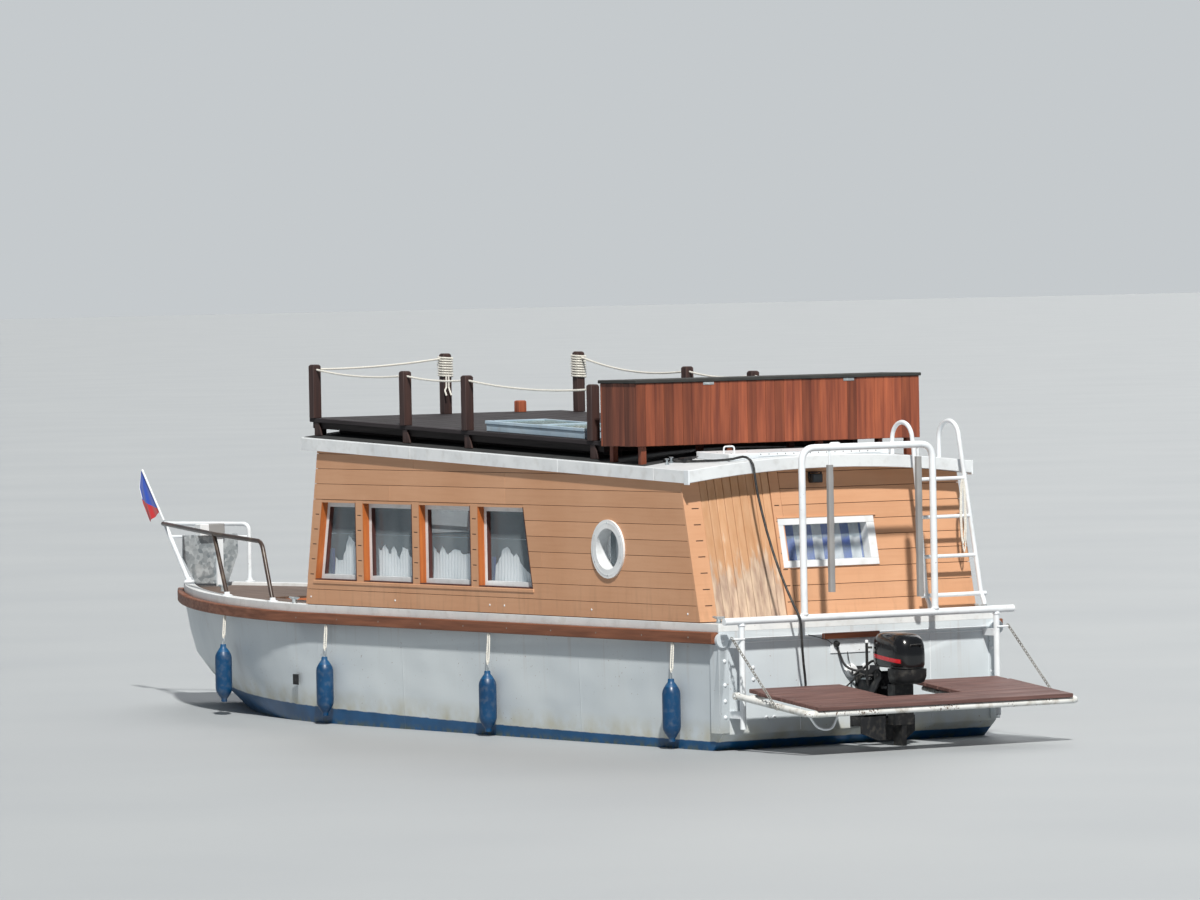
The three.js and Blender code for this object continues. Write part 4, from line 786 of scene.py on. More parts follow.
def chain_tree():
    """Welded links along the edges of the base, each turned a quarter from the last."""
    g = Growth("chain", Pitch=0.03, Wire=0.0035, Width=0.022, Length=0.04)
    path = g.add("GeometryNodeMeshToCurve", {"Mesh": g.given["Geometry"]})[0]
    spots = g.add("GeometryNodeCurveToPoints", {"Curve": path, "Length": g.given["Pitch"]}, mode="LENGTH")
    frame_size = {"Width": g.given["Width"], "Height": g.given["Length"]}
    oval = g.add("GeometryNodeCurvePrimitiveQuadrilateral", frame_size)[0]
    bend = {"Curve": oval, "Count": 4, "Radius": g.scaled("Width", 0.48)}
    bent = g.add("GeometryNodeFilletCurve", bend, mode="POLY")[0]
    wire = g.add("GeometryNodeCurvePrimitiveCircle", {"Resolution": 6, "Radius": g.given["Wire"]})[0]
    link = g.add("GeometryNodeCurveToMesh", {"Curve": bent, "Profile Curve": wire})[0]
    upright = g.add("GeometryNodeTransform", {"Geometry": link, "Rotation": (math.pi / 2, 0.0, 0.0)})[0]
    placed = {"Points": spots["Points"], "Instance": upright, "Rotation": spots["Rotation"]}
    links = g.add("GeometryNodeInstanceOnPoints", placed)[0]
    order = g.add("GeometryNodeInputIndex")[0]
    quarter = g.add("ShaderNodeCombineXYZ", {"Z": g.calc("MULTIPLY", order, math.pi / 2)})[0]
    turned = g.add("GeometryNodeRotateInstances", {"Instances": links, "Rotation": quarter})[0]
    return g.close(turned)


def rope_tree():
    """Three strands laid round the edges of the base."""
    g = Growth("rope", Radius=0.008, Lay=0.06, Step=0.012)
    path = g.add("GeometryNodeMeshToCurve", {"Mesh": g.given["Geometry"]})[0]
    even = g.add("GeometryNodeResampleCurve", {"Curve": path, "Length": g.given["Step"]}, mode="LENGTH")[0]
    along = g.add("GeometryNodeInputTangent")[0]
    side = g.add("GeometryNodeInputNormal")[0]
    across = g.add("ShaderNodeVectorMath", {0: along, 1: side}, operation="CROSS_PRODUCT")[0]
    run = g.add("GeometryNodeSplineParameter")["Length"]
    turn = g.calc("DIVIDE", g.calc("MULTIPLY", run, 2 * math.pi), g.given["Lay"])
    thread = {"Resolution": 6, "Radius": g.scaled("Radius", 0.53)}
    wire = g.add("GeometryNodeCurvePrimitiveCircle", thread)[0]
    reach = g.scaled("Radius", 0.5)
    joined = g.tree.nodes.new("GeometryNodeJoinGeometry")
    for strand in range(3):
        angle = g.calc("ADD", turn, strand * 2 * math.pi / 3)
        offsets = {}
        for socket, direction, wave in ((0, side, "COSINE"), (1, across, "SINE")):
            share = g.calc("MULTIPLY", g.calc(wave, angle), reach)
            offsets[socket] = g.add("ShaderNodeVectorMath", {0: direction, 3: share}, operation="SCALE")[0]
        offset = g.add("ShaderNodeVectorMath", offsets, operation="ADD")[0]
        laid = g.add("GeometryNodeSetPosition", {"Geometry": even, "Offset": offset})[0]
        cover = g.add("GeometryNodeCurveToMesh", {"Curve": laid, "Profile Curve": wire, "Fill Caps": True})[0]
        g.tree.links.new(cover, joined.inputs[0])
    return g.close(joined.outputs[0])


SLATS = slat_tree()
FASTENINGS = fastening_tree()
CHAIN = chain_tree()
ROPES = rope_tree()


def polyline(name, lines):
    """A base mesh of the given lines of points."""
    corners, edges = [], []
    for line in lines:
        first = len(corners)
        corners += [tuple(point) for point in line]
        edges += [(first + i, first + i + 1) for i in range(len(line) - 1)]
    base = bpy.data.meshes.new(name)
    base.from_pydata(corners, edges, [])
    return base


def rope(name, lines, radius, step=0.012, replaces=()):
    base = polyline(f"{name}_line", lines)
    mesh = ROPES.grow(name, ROPE, base, Radius=radius, Lay=radius * 7.5, Step=step)
    finished(name, mesh, ROPE, replaces=replaces, smooth=60)


def heads(name, points, finish, radius, turn, height=0.5, body="hull"):
    base = bpy.data.meshes.new(f"{name}_points")
    base.from_pydata([tuple(point) for point in points], [], [])
    mesh = FASTENINGS.grow(name, finish, base, Radius=radius, Turn=turn, Height=height)
    finished(name, mesh, finish, body, smooth=50)


def eased(mesh, width):
    """A grown mesh with its edges eased."""
    shape = bmesh.new()
    shape.from_mesh(mesh)
    ease(shape, width)
    shape.to_mesh(mesh)
    shape.free()
    return mesh


def moved(mesh, place):
    for vertex in mesh.vertices:
        vertex.co = place(vertex.co)
    return mesh


def cut(shape, tool):
    """The shape less the tool's solids."""
    pair = []
    for label, form in (("whole", shape), ("tool", tool)):
        bmesh.ops.recalc_face_normals(form.mesh, faces=form.mesh.faces)
        mesh = bpy.data.meshes.new(label)
        form.mesh.to_mesh(mesh)
        form.mesh.free()
        holder = bpy.data.objects.new(label, mesh)
        bpy.context.scene.collection.objects.link(holder)
        pair.append(holder)
    whole, knife = pair
    modifier = whole.modifiers.new("cut", "BOOLEAN")
    modifier.operation = "DIFFERENCE"
    modifier.solver = "EXACT"
    modifier.object = knife
    graph = bpy.context.evaluated_depsgraph_get()
    mesh = bpy.data.meshes.new_from_object(whole.evaluated_get(graph), depsgraph=graph)
    for holder in pair:
        bpy.data.objects.remove(holder)
    left = Shape()
    left.take(mesh)
    return left


def cloth_mesh(name, grid):
    """A cloth over columns of points, with its area; its map runs across and then down."""
    mesh = bmesh.new()
    layer = mesh.loops.layers.uv.new("cloth")
    points = [[mesh.verts.new(place) for place in column] for column in grid]
    columns, rows = len(grid) - 1, len(grid[0]) - 1
    for i in range(columns):
        for j in range(rows):
            corners = ((i, j), (i + 1, j), (i + 1, j + 1), (i, j + 1))
            face = mesh.faces.new([points[u][v] for u, v in corners])
            for loop, (u, v) in zip(face.loops, corners):
                loop[layer].uv = (u / columns, v / rows)
    area = sum(face.calc_area() for face in mesh.faces)
    bmesh.ops.recalc_face_normals(mesh, faces=mesh.faces)
    cloth = bpy.data.meshes.new(name)
    mesh.to_mesh(cloth)
    mesh.free()
    return cloth, area


# The cord: a black hose from the roof, over its edge and the stern rail, and into the transom
HOSE_R = 0.009
HOSE_PATH = [
    (0.930, 1.030, 2.0483), (0.800, 1.010, 2.0456), (0.680, 0.965, 2.0458), (0.580, 0.915, 2.0480),
    (0.500, 0.868, 2.0500), (0.448, 0.832, 2.0535), (0.405, 0.790, 2.0600), (0.378, 0.760, 2.0690),
    (0.3534, 0.742, 2.0751), (0.3243, 0.727, 2.0700), (0.2933, 0.715, 2.0502), (0.2735, 0.708, 2.0192),
    (0.2684, 0.704, 1.9901), (0.262, 0.699, 1.920), (0.243, 0.695, 1.820), (0.205, 0.690, 1.700),
    (0.150, 0.685, 1.550), (0.085, 0.678, 1.400), (0.010, 0.670, 1.250), (-0.065, 0.660, 1.120),
    (-0.130, 0.650, 1.015), (-0.165, 0.643, 0.965), (-0.183, 0.638, 0.925), (-0.185, 0.632, 0.880),
    (-0.172, 0.620, 0.800), (-0.150, 0.600, 0.700), (-0.125, 0.575, 0.600), (-0.102, 0.550, 0.520),
    (-0.080, 0.530, 0.460), (-0.066, 0.520, 0.425), (-0.045, 0.513, 0.400), (-0.018, 0.510, 0.388),
    (-0.001, 0.510, 0.386),
]


def drain_hose():
    """One hose from a fitting on the roof, over the stern rail, into the transom."""
    hose = Shape()
    hose.tube(HOSE_PATH, HOSE_R, 16)
    piece = hose.made("drain_hose", HOSE_RUBBER, replaces=("hose",), smooth=60)
    path = [Vector(point) for point in HOSE_PATH]
    back = (path[0] - path[1]).normalized()
    spigot = [(0, 0), (0.0108, 0), (0.0115, 0.002), (0.0115, 0.030), (0.0093, 0.033)]
    fitting = Shape()
    fitting.turned(spigot, path[0] + back * 0.004, -back, 20)
    fitting.made("hose_roof_fitting", BLACK_PLASTIC, smooth=40)
    collar = [(0.0095, 0.0), (0.0125, 0.002), (0.0125, 0.022), (0.0095, 0.026)]
    ferrule = Shape()
    ferrule.turned(collar, (-0.0275, 0.5115, 0.3920), (1.0, -0.06, -0.2), 20)
    ferrule.made("hose_ferrule", ZINC, smooth=40)


# Siding: heights of the lines between boards
LINES = [0.909, 1.026, 1.141, 1.257, 1.372, 1.486, 1.600, 1.715, 1.833, 1.948, 2.063, 2.178]
# Window: aft edge at the sill and at the head, forward edge at the sill and at the head
SIDE_LIGHTS = [
    (2.425, 2.542, 3.168, 3.168), (3.270, 3.270, 3.990, 3.990), (4.090, 4.090, 4.795, 4.795),
    (4.897, 4.897, 5.505, 5.385),
]
SILL, HEAD = 1.100, 1.700
BAND_TOP = 1.712
SLOT_HALF = 0.0035
PORTHOLE_X, PORTHOLE_Z = 1.400, 1.411
# Course: the joints between its boards
JOINTS = {0: [2.93], 3: [2.3], 7: [2.785, 4.4], 8: [2.785], 9: [4.05]}


def under_roof_planes(x):
    """Planes of (y, z) below the roof's cambered underside at x, one for each of its facets."""
    planes = []
    steps = 12
    edge = [-ROOF_HALF + 2 * ROOF_HALF * i / steps for i in range(steps + 1)]
    for y0, y1 in zip(edge, edge[1:]):
        z0, z1 = (roof_top(x, y) - ROOF_THICK - 0.002 for y in (y0, y1))
        rise = (z1 - z0) / (y1 - y0)
        planes.append((-rise, 1.0, z0 - rise * y0))
    return planes


def courses(shape, near, far, planes, at, joints, seed):
    """Level boards over a face, course by course, clipped to the planes."""
    tones = random.Random(seed)
    for index, (low, high) in enumerate(zip(LINES, LINES[1:])):
        ends = [near, *joints.get(index, []), far]
        for start, end in zip(ends, ends[1:]):
            board = rectangle(start + 0.001, end - 0.001, low + 0.0018, high - 0.0018)
            outline = clipped(board, planes)
            if outline:
                shape.prism(outline, -0.001, BOARD, tones.uniform(0.2, 0.8), at)


def notched(name, outline, notches, at, thick=BOARD):
    """A plain upright strip with short slots across it at the board lines, with a block of painted shade
    inside each slot.
    """
    strip, cutters, shade = Shape(), Shape(), Shape()
    strip.prism(outline, -0.001, thick, 0.5, at)
    for start, end, z in notches:
        slot = rectangle(start, end, z - SLOT_HALF, z + SLOT_HALF)
        cutters.prism(slot, thick - 0.009, thick + 0.01, 0.5, at)
        # Each slot holds a block of near-black wood: painted shade in the slot.
        shade.prism(slot, thick - 0.0100, thick - 0.0015, 0.5, at)
    left = cut(strip, cutters)
    left.chamfer(0.0014)
    left.made(name, SIDING)
    shade.made(f"{name}_slots", SLOT_SHADE)


def light_outline(light, grow=0.0):
    """The four corners of a window opening, grown outward."""
    aft_sill, aft_head, fore_sill, fore_head = light
    share = grow / (HEAD - SILL)
    aft_skew, fore_skew = (aft_head - aft_sill) * share, (fore_head - fore_sill) * share
    return [
        (aft_sill - grow - aft_skew, SILL - grow), (fore_sill + grow - fore_skew, SILL - grow),
        (fore_head + grow + fore_skew, HEAD + grow), (aft_head - grow + aft_skew, HEAD + grow),
    ]


def side_siding(name, side):
    """Boards of a side wall, cut round its windows and its porthole."""
    def at(u, v, depth):
        return Vector((u, side * (CABIN_HALF + depth), v))

    under = ROOF_EDGE + 0.0044 - ROOF_THICK - ROOF_SLOPE * ROOF_X0 - 0.002
    planes = [
        (-ROOF_SLOPE, 1.0, under),
        (-1.0, AFT_LEAN, -(AFT_FOOT + 0.001) + AFT_LEAN * CABIN_BASE),
        (1.0, FRONT_LEAN, FRONT_FOOT - 0.001 + FRONT_LEAN * CABIN_BASE),
    ]
    boards = Shape()
    courses(boards, 0.2, 5.7, planes, at, JOINTS, 3 if side > 0 else 4)
    holes = Shape()
    aft_sill, aft_head = SIDE_LIGHTS[0][:2]
    holes.prism([(aft_sill, SILL), (5.8, SILL), (5.8, BAND_TOP), (aft_head, BAND_TOP)], -0.05, 0.05, at=at)
    eye = [(PORTHOLE_X + 0.2 * math.cos(a), PORTHOLE_Z + 0.2 * math.sin(a)) for a in turns(40)]
    holes.prism(eye, -0.05, 0.05, at=at)
    left = cut(boards, holes)
    left.chamfer(0.0018)
    left.made(f"siding_{name}", SIDING)

    ends = [light[:2] for light in SIDE_LIGHTS[1:]]
    ends.append((front_x(SILL) + BOARD - 0.001, front_x(BAND_TOP) + BOARD - 0.001))
    for number, (light, (far_sill, far_head)) in enumerate(zip(SIDE_LIGHTS, ends), 1):
        near_sill, near_head = light[2:]
        outline = [(near_sill, SILL), (far_sill, SILL), (far_head, BAND_TOP), (near_head, BAND_TOP)]
        notches = []
        for z in LINES[2:7]:
            share = (z - SILL) / (HEAD - SILL)
            edge = near_sill + (near_head - near_sill) * share
            notches.append((edge + 0.026, edge + 0.080, z))
        notched(f"window_post_{name}_{number}", outline, notches, at)

    trim = Shape()
    trim.prism(rectangle(2.41, 5.53, SILL - 0.030, SILL - 0.003), -0.001, BOARD + 0.006, 0.6, at)
    trim.chamfer(0.004)
    trim.made(f"sill_moulding_{name}", SIDING)
    for number, light in enumerate(SIDE_LIGHTS, 1):
        line_window(f"{name}_{number}", light, at)


def line_window(name, light, at):
    """Varnished boards that line a window opening in front of its frame: the forward board orange, the sill
    and aft boards and a jamb behind its edge dark with painted shade.
    """
    outer = light_outline(light)
    inner = light_outline(light, -0.008)
    near, far = -0.0395, BOARD + 0.0005
    aft_low, fore_low, fore_high, aft_high = outer
    aft_in_low, fore_in_low, fore_in_high, aft_in_high = inner
    boards = Shape()
    boards.prism([fore_low, fore_high, fore_in_high, fore_in_low], near, far, 0.8, at)
    boards.made(f"reveal_{name}", ORANGE_WOOD)
    # The sill and the aft board in the darker copy of the wood: painted shade.
    dark = Shape()
    dark.prism([aft_low, fore_low, fore_in_low, aft_in_low], near, far, 0.7, at)
    dark.prism([aft_in_low, aft_in_high, aft_high, aft_low], near, far, 0.4, at)
    dark.made(f"sill_and_edge_{name}", JAMB_SHADE_WOOD)
    head = Shape()
    head.prism([aft_in_high, fore_in_high, fore_high, aft_high], near, far, 0.3, at)
    (low_u, low_v), (high_u, high_v) = fore_high, aft_high
    head.prism([(low_u, low_v), (low_u, BAND_TOP - 0.0015), (high_u, BAND_TOP - 0.0015), (high_u, high_v)],
               -0.001, far, 0.3, at)
    head.made(f"head_board_{name}", SIDING)
    # A dark jamb deep behind the opening's edge: painted shade.
    edge = light_outline(light, -0.0422)
    deep = light_outline(light, -0.0472)
    jamb = Shape()
    jamb.prism([edge[1], edge[2], deep[2], deep[1]], -0.0720, -0.0410, 0.5, at)
    jamb.prism([deep[0], deep[3], edge[3], edge[0]], -0.0720, -0.0410, 0.5, at)
    jamb.made(f"jamb_{name}", JAMB_SHADE_WOOD)


def aft_at(u, v, depth):
    """A point of the aft wall: across it, up it and out of it."""
    return Vector((aft_x(v) - depth, u, v))


def aft_siding():
    """The aft face: notched corner strips, upright weathered boards between them, then level boards."""
    wall_top_x, low = 0.46, 0.912
    planes = under_roof_planes(wall_top_x)
    under = roof_top(wall_top_x, 1.14) - ROOF_THICK - 0.004
    for name, near, far, slot in (("aft_corner_strip", 1.062, 1.2125, (1.089, 1.150)),
                                  ("aft_middle_strip", 0.372, 0.452, (0.394, 0.436))):
        outline = clipped(rectangle(near, far, low, 2.2), planes)
        notched(name, outline, [(*slot, z) for z in LINES[1:9] if z < under - 0.1], aft_at, 0.016)
    level = Shape()
    courses(level, -1.212, 0.368, planes, aft_at, {}, 7)
    window = Shape()
    window.block(-0.400, 0.420, 1.276, 1.612, -0.05, 0.05, at=aft_at)
    strips = cut(level, window)
    strips.chamfer(0.0016)
    strips.made("aft_level_boards", SIDING)

    tones = random.Random(8)
    boards = Shape()
    edges = [0.456, 0.520, 0.585, 0.652, 0.719, 0.788, 0.856, 0.924, 0.992, 1.058]
    for near, far in zip(edges, edges[1:]):
        outline = clipped(rectangle(near + 0.0015, far - 0.0015, low, 2.2), planes)
        boards.prism(outline, -0.001, 0.011 + tones.uniform(0, 0.004), tones.uniform(0.1, 0.9), aft_at)
    boards.chamfer(0.003)
    boards.made("aft_upright_boards", WORN)


def front_siding():
    """Level boards round the front door, and the door's casing."""
    def at(u, v, depth):
        return Vector((front_x(v) + depth, u, v))

    boards = Shape()
    courses(boards, -1.212, 1.212, under_roof_planes(5.45), at, {}, 9)
    hole = Shape()
    hole.block(-0.335, 0.335, 0.955, 1.965, -0.05, 0.05, at=at)
    left = cut(boards, hole)
    left.chamfer(0.0018)
    left.made("siding_front", SIDING)
    casing = Shape()
    for y0, y1 in ((-0.40, -0.335), (0.345, 0.41)):
        casing.block(y0, y1, 0.95, 2.03, -0.001, 0.026, 0.5, at)
    casing.block(-0.40, 0.41, 1.967, 2.03, -0.001, 0.026, 0.6, at)
    casing.chamfer(0.003)
    casing.made("door_casing", ORANGE_WOOD)


def cabin_walls():
    """The walls with their boards, screws, window frames, panes and portholes."""
    for name in ("wall_port", "wall_stbd", "wall_aft", "wall_front"):
        painted(name, BACKING)
    side_siding("port", 1)
    side_siding("stbd", -1)
    aft_siding()
    front_siding()
    aft_frame()
    for name, side in (("port", 1), ("stbd", -1)):
        y = side * (CABIN_HALF + BOARD - 0.0005)
        screws = [(x, y, 0.967) for x in (5.572, 4.35, 3.02, 2.82, 1.643, 0.391)]
        heads(f"bottom_screws_{name}", screws, FRAME_WHITE, 0.009, (-side * math.pi / 2, 0.0, 0.0), 0.5)
        dressed(f"window_frames_{name}", FRAME_WHITE, chamfer=0.004)
        porthole_ring(name, side)
    for name in ("glass_port", "glass_stbd", "glass_aft", "door_glass"):
        painted(name, GLASS)


def aft_frame():
    """A flat white frame that stands on the boards, with a deeper liner behind it."""
    y0, y1, z0, z1, rim = -0.408, 0.428, 1.268, 1.620, 0.048
    rims = Shape()
    for near, far, low, high in (
        (y0, y1, z0, z0 + rim), (y0, y1, z1 - rim, z1),
        (y0, y0 + rim * 1.4, z0 + rim, z1 - rim), (y1 - rim * 0.9, y1, z0 + rim, z1 - rim),
    ):
        rims.block(near, far, low, high, -0.0655, 0.0235, 0.5, aft_at)
    rims.chamfer(0.003)
    rims.made("aft_window_frame", FRAME_WHITE, replaces=("window_frame_aft",))
    head = Shape()
    head.block(y0 - 0.02, y1 + 0.006, z1 + 0.0005, z1 + 0.014, -0.001, 0.027, 0.5, aft_at)
    head.chamfer(0.002)
    head.made("aft_window_head", SIDING)


def porthole_ring(name, side):
    """A moulded ring round a porthole, held by six screws."""
    profile = [
        (0.212, 0.001), (0.213, 0.007), (0.208, 0.021), (0.196, 0.0285), (0.182, 0.0285), (0.170, 0.022),
        (0.158, 0.021), (0.151, 0.011), (0.1505, -0.039), (0.185, -0.039), (0.185, 0.001),
    ]
    foot, axis = Vector((PORTHOLE_X, side * CABIN_HALF, PORTHOLE_Z)), Vector((0, side, 0))
    ring = Shape()
    ring.hoop(profile, foot, axis, 48)
    ring.made(f"porthole_ring_{name}", FRAME_WHITE, smooth=40)
    spots = []
    for a in turns(6, 0.5):
        spots.append(foot + Vector((math.cos(a), 0, math.sin(a))) * 0.190 + axis * 0.0285)
    heads(f"porthole_screws_{name}", spots, ZINC, 0.006, (-side * math.pi / 2, 0.0, 0.0), 0.4)


# Net: points of its drawn-up top edge, as (x, height)
NETS = [
    [(2.62, 1.190), (2.689, 1.205), (2.782, 1.262), (2.848, 1.352), (2.890, 1.318), (2.970, 1.395),
     (3.039, 1.376), (3.083, 1.312), (3.155, 1.235)],
    [(3.46, 1.325), (3.512, 1.332), (3.596, 1.322), (3.637, 1.352), (3.721, 1.362), (3.807, 1.317),
     (3.883, 1.390), (3.920, 1.312), (4.012, 1.386)],
    [(4.29, 1.280), (4.341, 1.295), (4.373, 1.347), (4.444, 1.364), (4.491, 1.265), (4.573, 1.378),
     (4.633, 1.304), (4.703, 1.380), (4.760, 1.330), (4.795, 1.350)],
    [(5.06, 1.260), (5.152, 1.390), (5.222, 1.442), (5.270, 1.330), (5.318, 1.248), (5.392, 1.246),
     (5.418, 1.270)],
]
CURTAIN_Y, ROD_Z = 1.0764, 1.451
NET_FOOT, BUNDLE_FOOT = 1.076, 1.085


def net_curtains():
    """Gathered nets on a rod over the lower part of each side window, and two tied curtains."""
    for name, side in (("port", 1), ("stbd", -1)):
        y = side * CURTAIN_Y
        rod = Shape()
        rod.tube([(2.40, y, ROD_Z), (5.44, y, ROD_Z)], 0.0015, 8)
        for x in (2.467, 5.397):
            rod.tube([(x, y, ROD_Z), (x, side * 1.12, ROD_Z)], 0.004, 8)
        rod.made(f"curtain_rod_{name}", FRAME_WHITE, replaces=(f"curtain_{name}",))
        for number, edge in enumerate(NETS, 1):
            hang_net(f"net_{name}_{number}", edge, side, 10 * number + side)
        bundles = Shape()
        for x0, x1, top in ((3.145, 3.195, 1.315), (5.440, 5.515, 1.335)):
            rings = []
            for k in range(9):
                z = BUNDLE_FOOT + (top - BUNDLE_FOOT) * k / 8
                ring = []
                for a in turns(20):
                    swell = 1 + 0.14 * math.sin(5 * a + k * 0.4)
                    x = (x0 + x1) / 2 + (x1 - x0) / 2 * swell * math.cos(a)
                    ring.append((x, y + 0.011 * swell * math.sin(a), z))
                rings.append(ring)
            bundles.rings(rings)
        bundles.made(f"tied_curtains_{name}", CURTAIN_BLUE, smooth=60)


def hang_net(name, edge, side, seed):
    """A net drawn up to a few points along its top, with soft upright folds."""
    columns, rows = 180, 14
    grid = []
    for i in range(columns + 1):
        s = i / columns
        x = edge[0][0] + (edge[-1][0] - edge[0][0]) * s
        step = max(k for k in range(len(edge) - 1) if edge[k][0] <= x + 1e-9)
        (x0, z0), (x1, z1) = edge[step:step + 2]
        top = z0 + (z1 - z0) * (x - x0) / (x1 - x0)
        fold = math.sin(2 * math.pi * x / 0.043 + 2 * math.sin(3 * x + seed))
        column = []
        for j in range(rows + 1):
            t = j / rows
            z = top + (NET_FOOT - top) * t
            depth = (0.003 + 0.008 * t) * fold + 0.002 * math.sin(7 * s + 5 * t + seed)
            column.append(Vector((x + 0.004 * fold * t, side * (CURTAIN_Y + depth), z)))
        grid.append(column)
    cloth, area = cloth_mesh(name, grid)
    piece = finished(name, cloth, NET, replaces=(f"curtain_{'port' if side > 0 else 'stbd'}",), smooth=80)


def aft_curtain():
    """A striped cloth in soft upright folds behind the aft window."""
    columns, rows, folds = 120, 16, 9
    drop = 0.39
    grid = []
    for i in range(columns + 1):
        s = i / columns
        wave = math.sin(2 * math.pi * folds * s + 0.8 * math.sin(7 * s))
        column = []
        for j in range(rows + 1):
            t = j / rows
            z = 1.645 - t * drop
            depth = 0.083 + 0.010 * wave * (0.6 + 0.4 * t)
            column.append(Vector((aft_x(z) + depth, -0.41 + 0.87 * s, z)))
        grid.append(column)
    cloth = cloth_mesh("aft_curtain_cloth", grid)[0]
    piece = finished("aft_curtain_cloth", cloth, STRIPES, replaces=("curtain_aft",), smooth=80)


# Roof
def roof_pieces():
    """The roof with its fascia, flat panel, felt and small gear."""
    dressed("roof", ROOF, chamfer=0.004)
    for name, side in (("port", 1), ("stbd", -1)):
        fascia_boards(name, side)
    dressed("roof_panel", RAIL_WHITE, chamfer=0.004)
    panel_fittings()
    felt_sheet()
    roof_gear()


def fascia_boards(name, side):
    """Thin boards along one edge of the roof, with a block at its aft corner."""
    def at(x, drop, depth):
        return Vector((x, side * (ROOF_HALF + depth), ROOF_EDGE + ROOF_SLOPE * (x - ROOF_X0) - drop))

    fascia = Shape()
    for x0, x1, tone in ((ROOF_X0 + 0.002, 0.754, 0.4), (0.758, 2.018, 0.6), (2.022, 4.05, 0.5),
                         (4.054, ROOF_X1 - 0.002, 0.6)):
        fascia.prism(rectangle(x0, x1, 0.004, 0.094), 0.0005, 0.006, tone, at)
    fascia.chamfer(0.0015)
    fascia.made(f"fascia_{name}", FRAME_WHITE)
    corner = (0.298, 0.36, side * 1.234, side * 1.247, 1.888, 1.994)
    slab(f"fascia_corner_{name}", RAIL_WHITE, corner, 0.003)


def panel_fittings():
    """Screws, two hooks and a riveted angle on the flat panel across the roof."""
    crown = ROOF_EDGE + ROOF_CAMBER + 0.020
    spots = []
    for x in (0.47, 0.65, 0.83):
        for y in (-0.56, -0.2, 0.2, 0.5, 0.76):
            spots.append((x, y, crown + ROOF_SLOPE * (x - ROOF_X0)))
    heads("roof_panel_screws", spots, ZINC, 0.007, (0.0, 0.0, 0.0), 0.5)
    hook_x, reach, rise = 0.62, 0.045, 0.048
    foot = crown + ROOF_SLOPE * (hook_x - ROOF_X0) - 0.004
    hooks = Shape()
    for y in (0.677, -0.248):
        bow = [(y - reach, foot), (y - reach, foot + rise), (y + reach, foot + rise), (y + reach, foot)]
        hooks.tube(rounded([(hook_x, across, z) for across, z in bow], 0.02), 0.006, 10)
    hooks.made("roof_hooks", RAIL_WHITE)
    strip = Shape()
    low = crown + ROOF_SLOPE * 0.14
    strip.block(0.4355, 0.4395, -0.52, 0.54, low - 0.022, low + 0.004)
    strip.block(0.4355, 0.462, -0.52, 0.54, low + 0.001, low + 0.004)
    strip.chamfer(0.0012)
    strip.made("roof_panel_angle", RAIL_WHITE)
    holes = [(0.4354, -0.48 + 0.072 * k, low - 0.009) for k in range(15)]
    heads("roof_panel_rivets", holes, FELT, 0.0045, (0.0, -math.pi / 2, 0.0), 0.3)


def felt_sheet():
    """Dark sheet over the roof forward of the flat panel: roofing felt whose darkness is also painted shade
    for the deep shade under the deck.
    """
    inset = 0.014
    across = [ROOF_HALF * (2 * i / 12 - 1) for i in range(13)]
    across[0] += inset
    across[-1] -= inset
    rings = []
    for x in (0.90, ROOF_X1 - inset):
        tops = [(x, y, roof_top(x, y) + 0.0022) for y in across]
        rings.append(tops + [(x, y, roof_top(x, y) - 0.001) for y in across[::-1]])
    sheet = Shape()
    sheet.rings(rings)
    sheet.made("roof_felt_and_painted_shade", ROOF_FELT_AND_SHADE)


def roof_gear():
    """Two small valves, a plug block and two leads that lie on the roof beside the box."""
    valve = [(0, 0), (0.016, 0), (0.016, 0.010), (0.008, 0.014), (0.008, 0.038), (0, 0.040)]
    gear = Shape()
    for x, y in ((0.79, 1.10), (0.84, 1.03)):
        z = roof_top(x, y) - 0.001
        gear.turned(valve, (x, y, z), (0, 0, 1), 14)
        gear.tube([(x - 0.022, y, z + 0.040), (x + 0.022, y, z + 0.040)], 0.0045, 8)
    gear.made("roof_valves", ZINC, smooth=40)
    z = roof_top(0.74, 0.98)
    slab("roof_plug_block", BLACK_PLASTIC, (0.71, 0.80, 0.93, 1.00, z - 0.006, z + 0.036), 0.006)
    leads = Shape()
    for shift, run in ((0.0, 0.62), (0.05, 0.80)):
        line = []
        for k in range(15):
            t = k / 14
            x = 0.94 - 0.20 * t + 0.03 * math.sin(5 * t + shift * 40)
            y = 0.92 - run * t * 0.55 + shift + 0.025 * math.sin(7 * t)
            on_panel = y < 0.80 and x < 0.87
            line.append((x, y, roof_top(x, y) + 0.0045 + 0.022 * on_panel))
        leads.tube(line, 0.0035, 8)
    leads.made("roof_leads", HOSE_RUBBER, smooth=60)


# Deck post: x, y and height
POSTS = [
    (5.59, 1.13, 0.41), (4.28, 1.13, 0.41), (3.41, 1.13, 0.41), (1.70, 1.13, 0.41), (5.59, -0.05, 0.47),
    (5.36, -1.13, 0.47), (3.84, -1.13, 0.41), (2.95, -1.13, 0.41), (1.70, -1.13, 0.41),
]


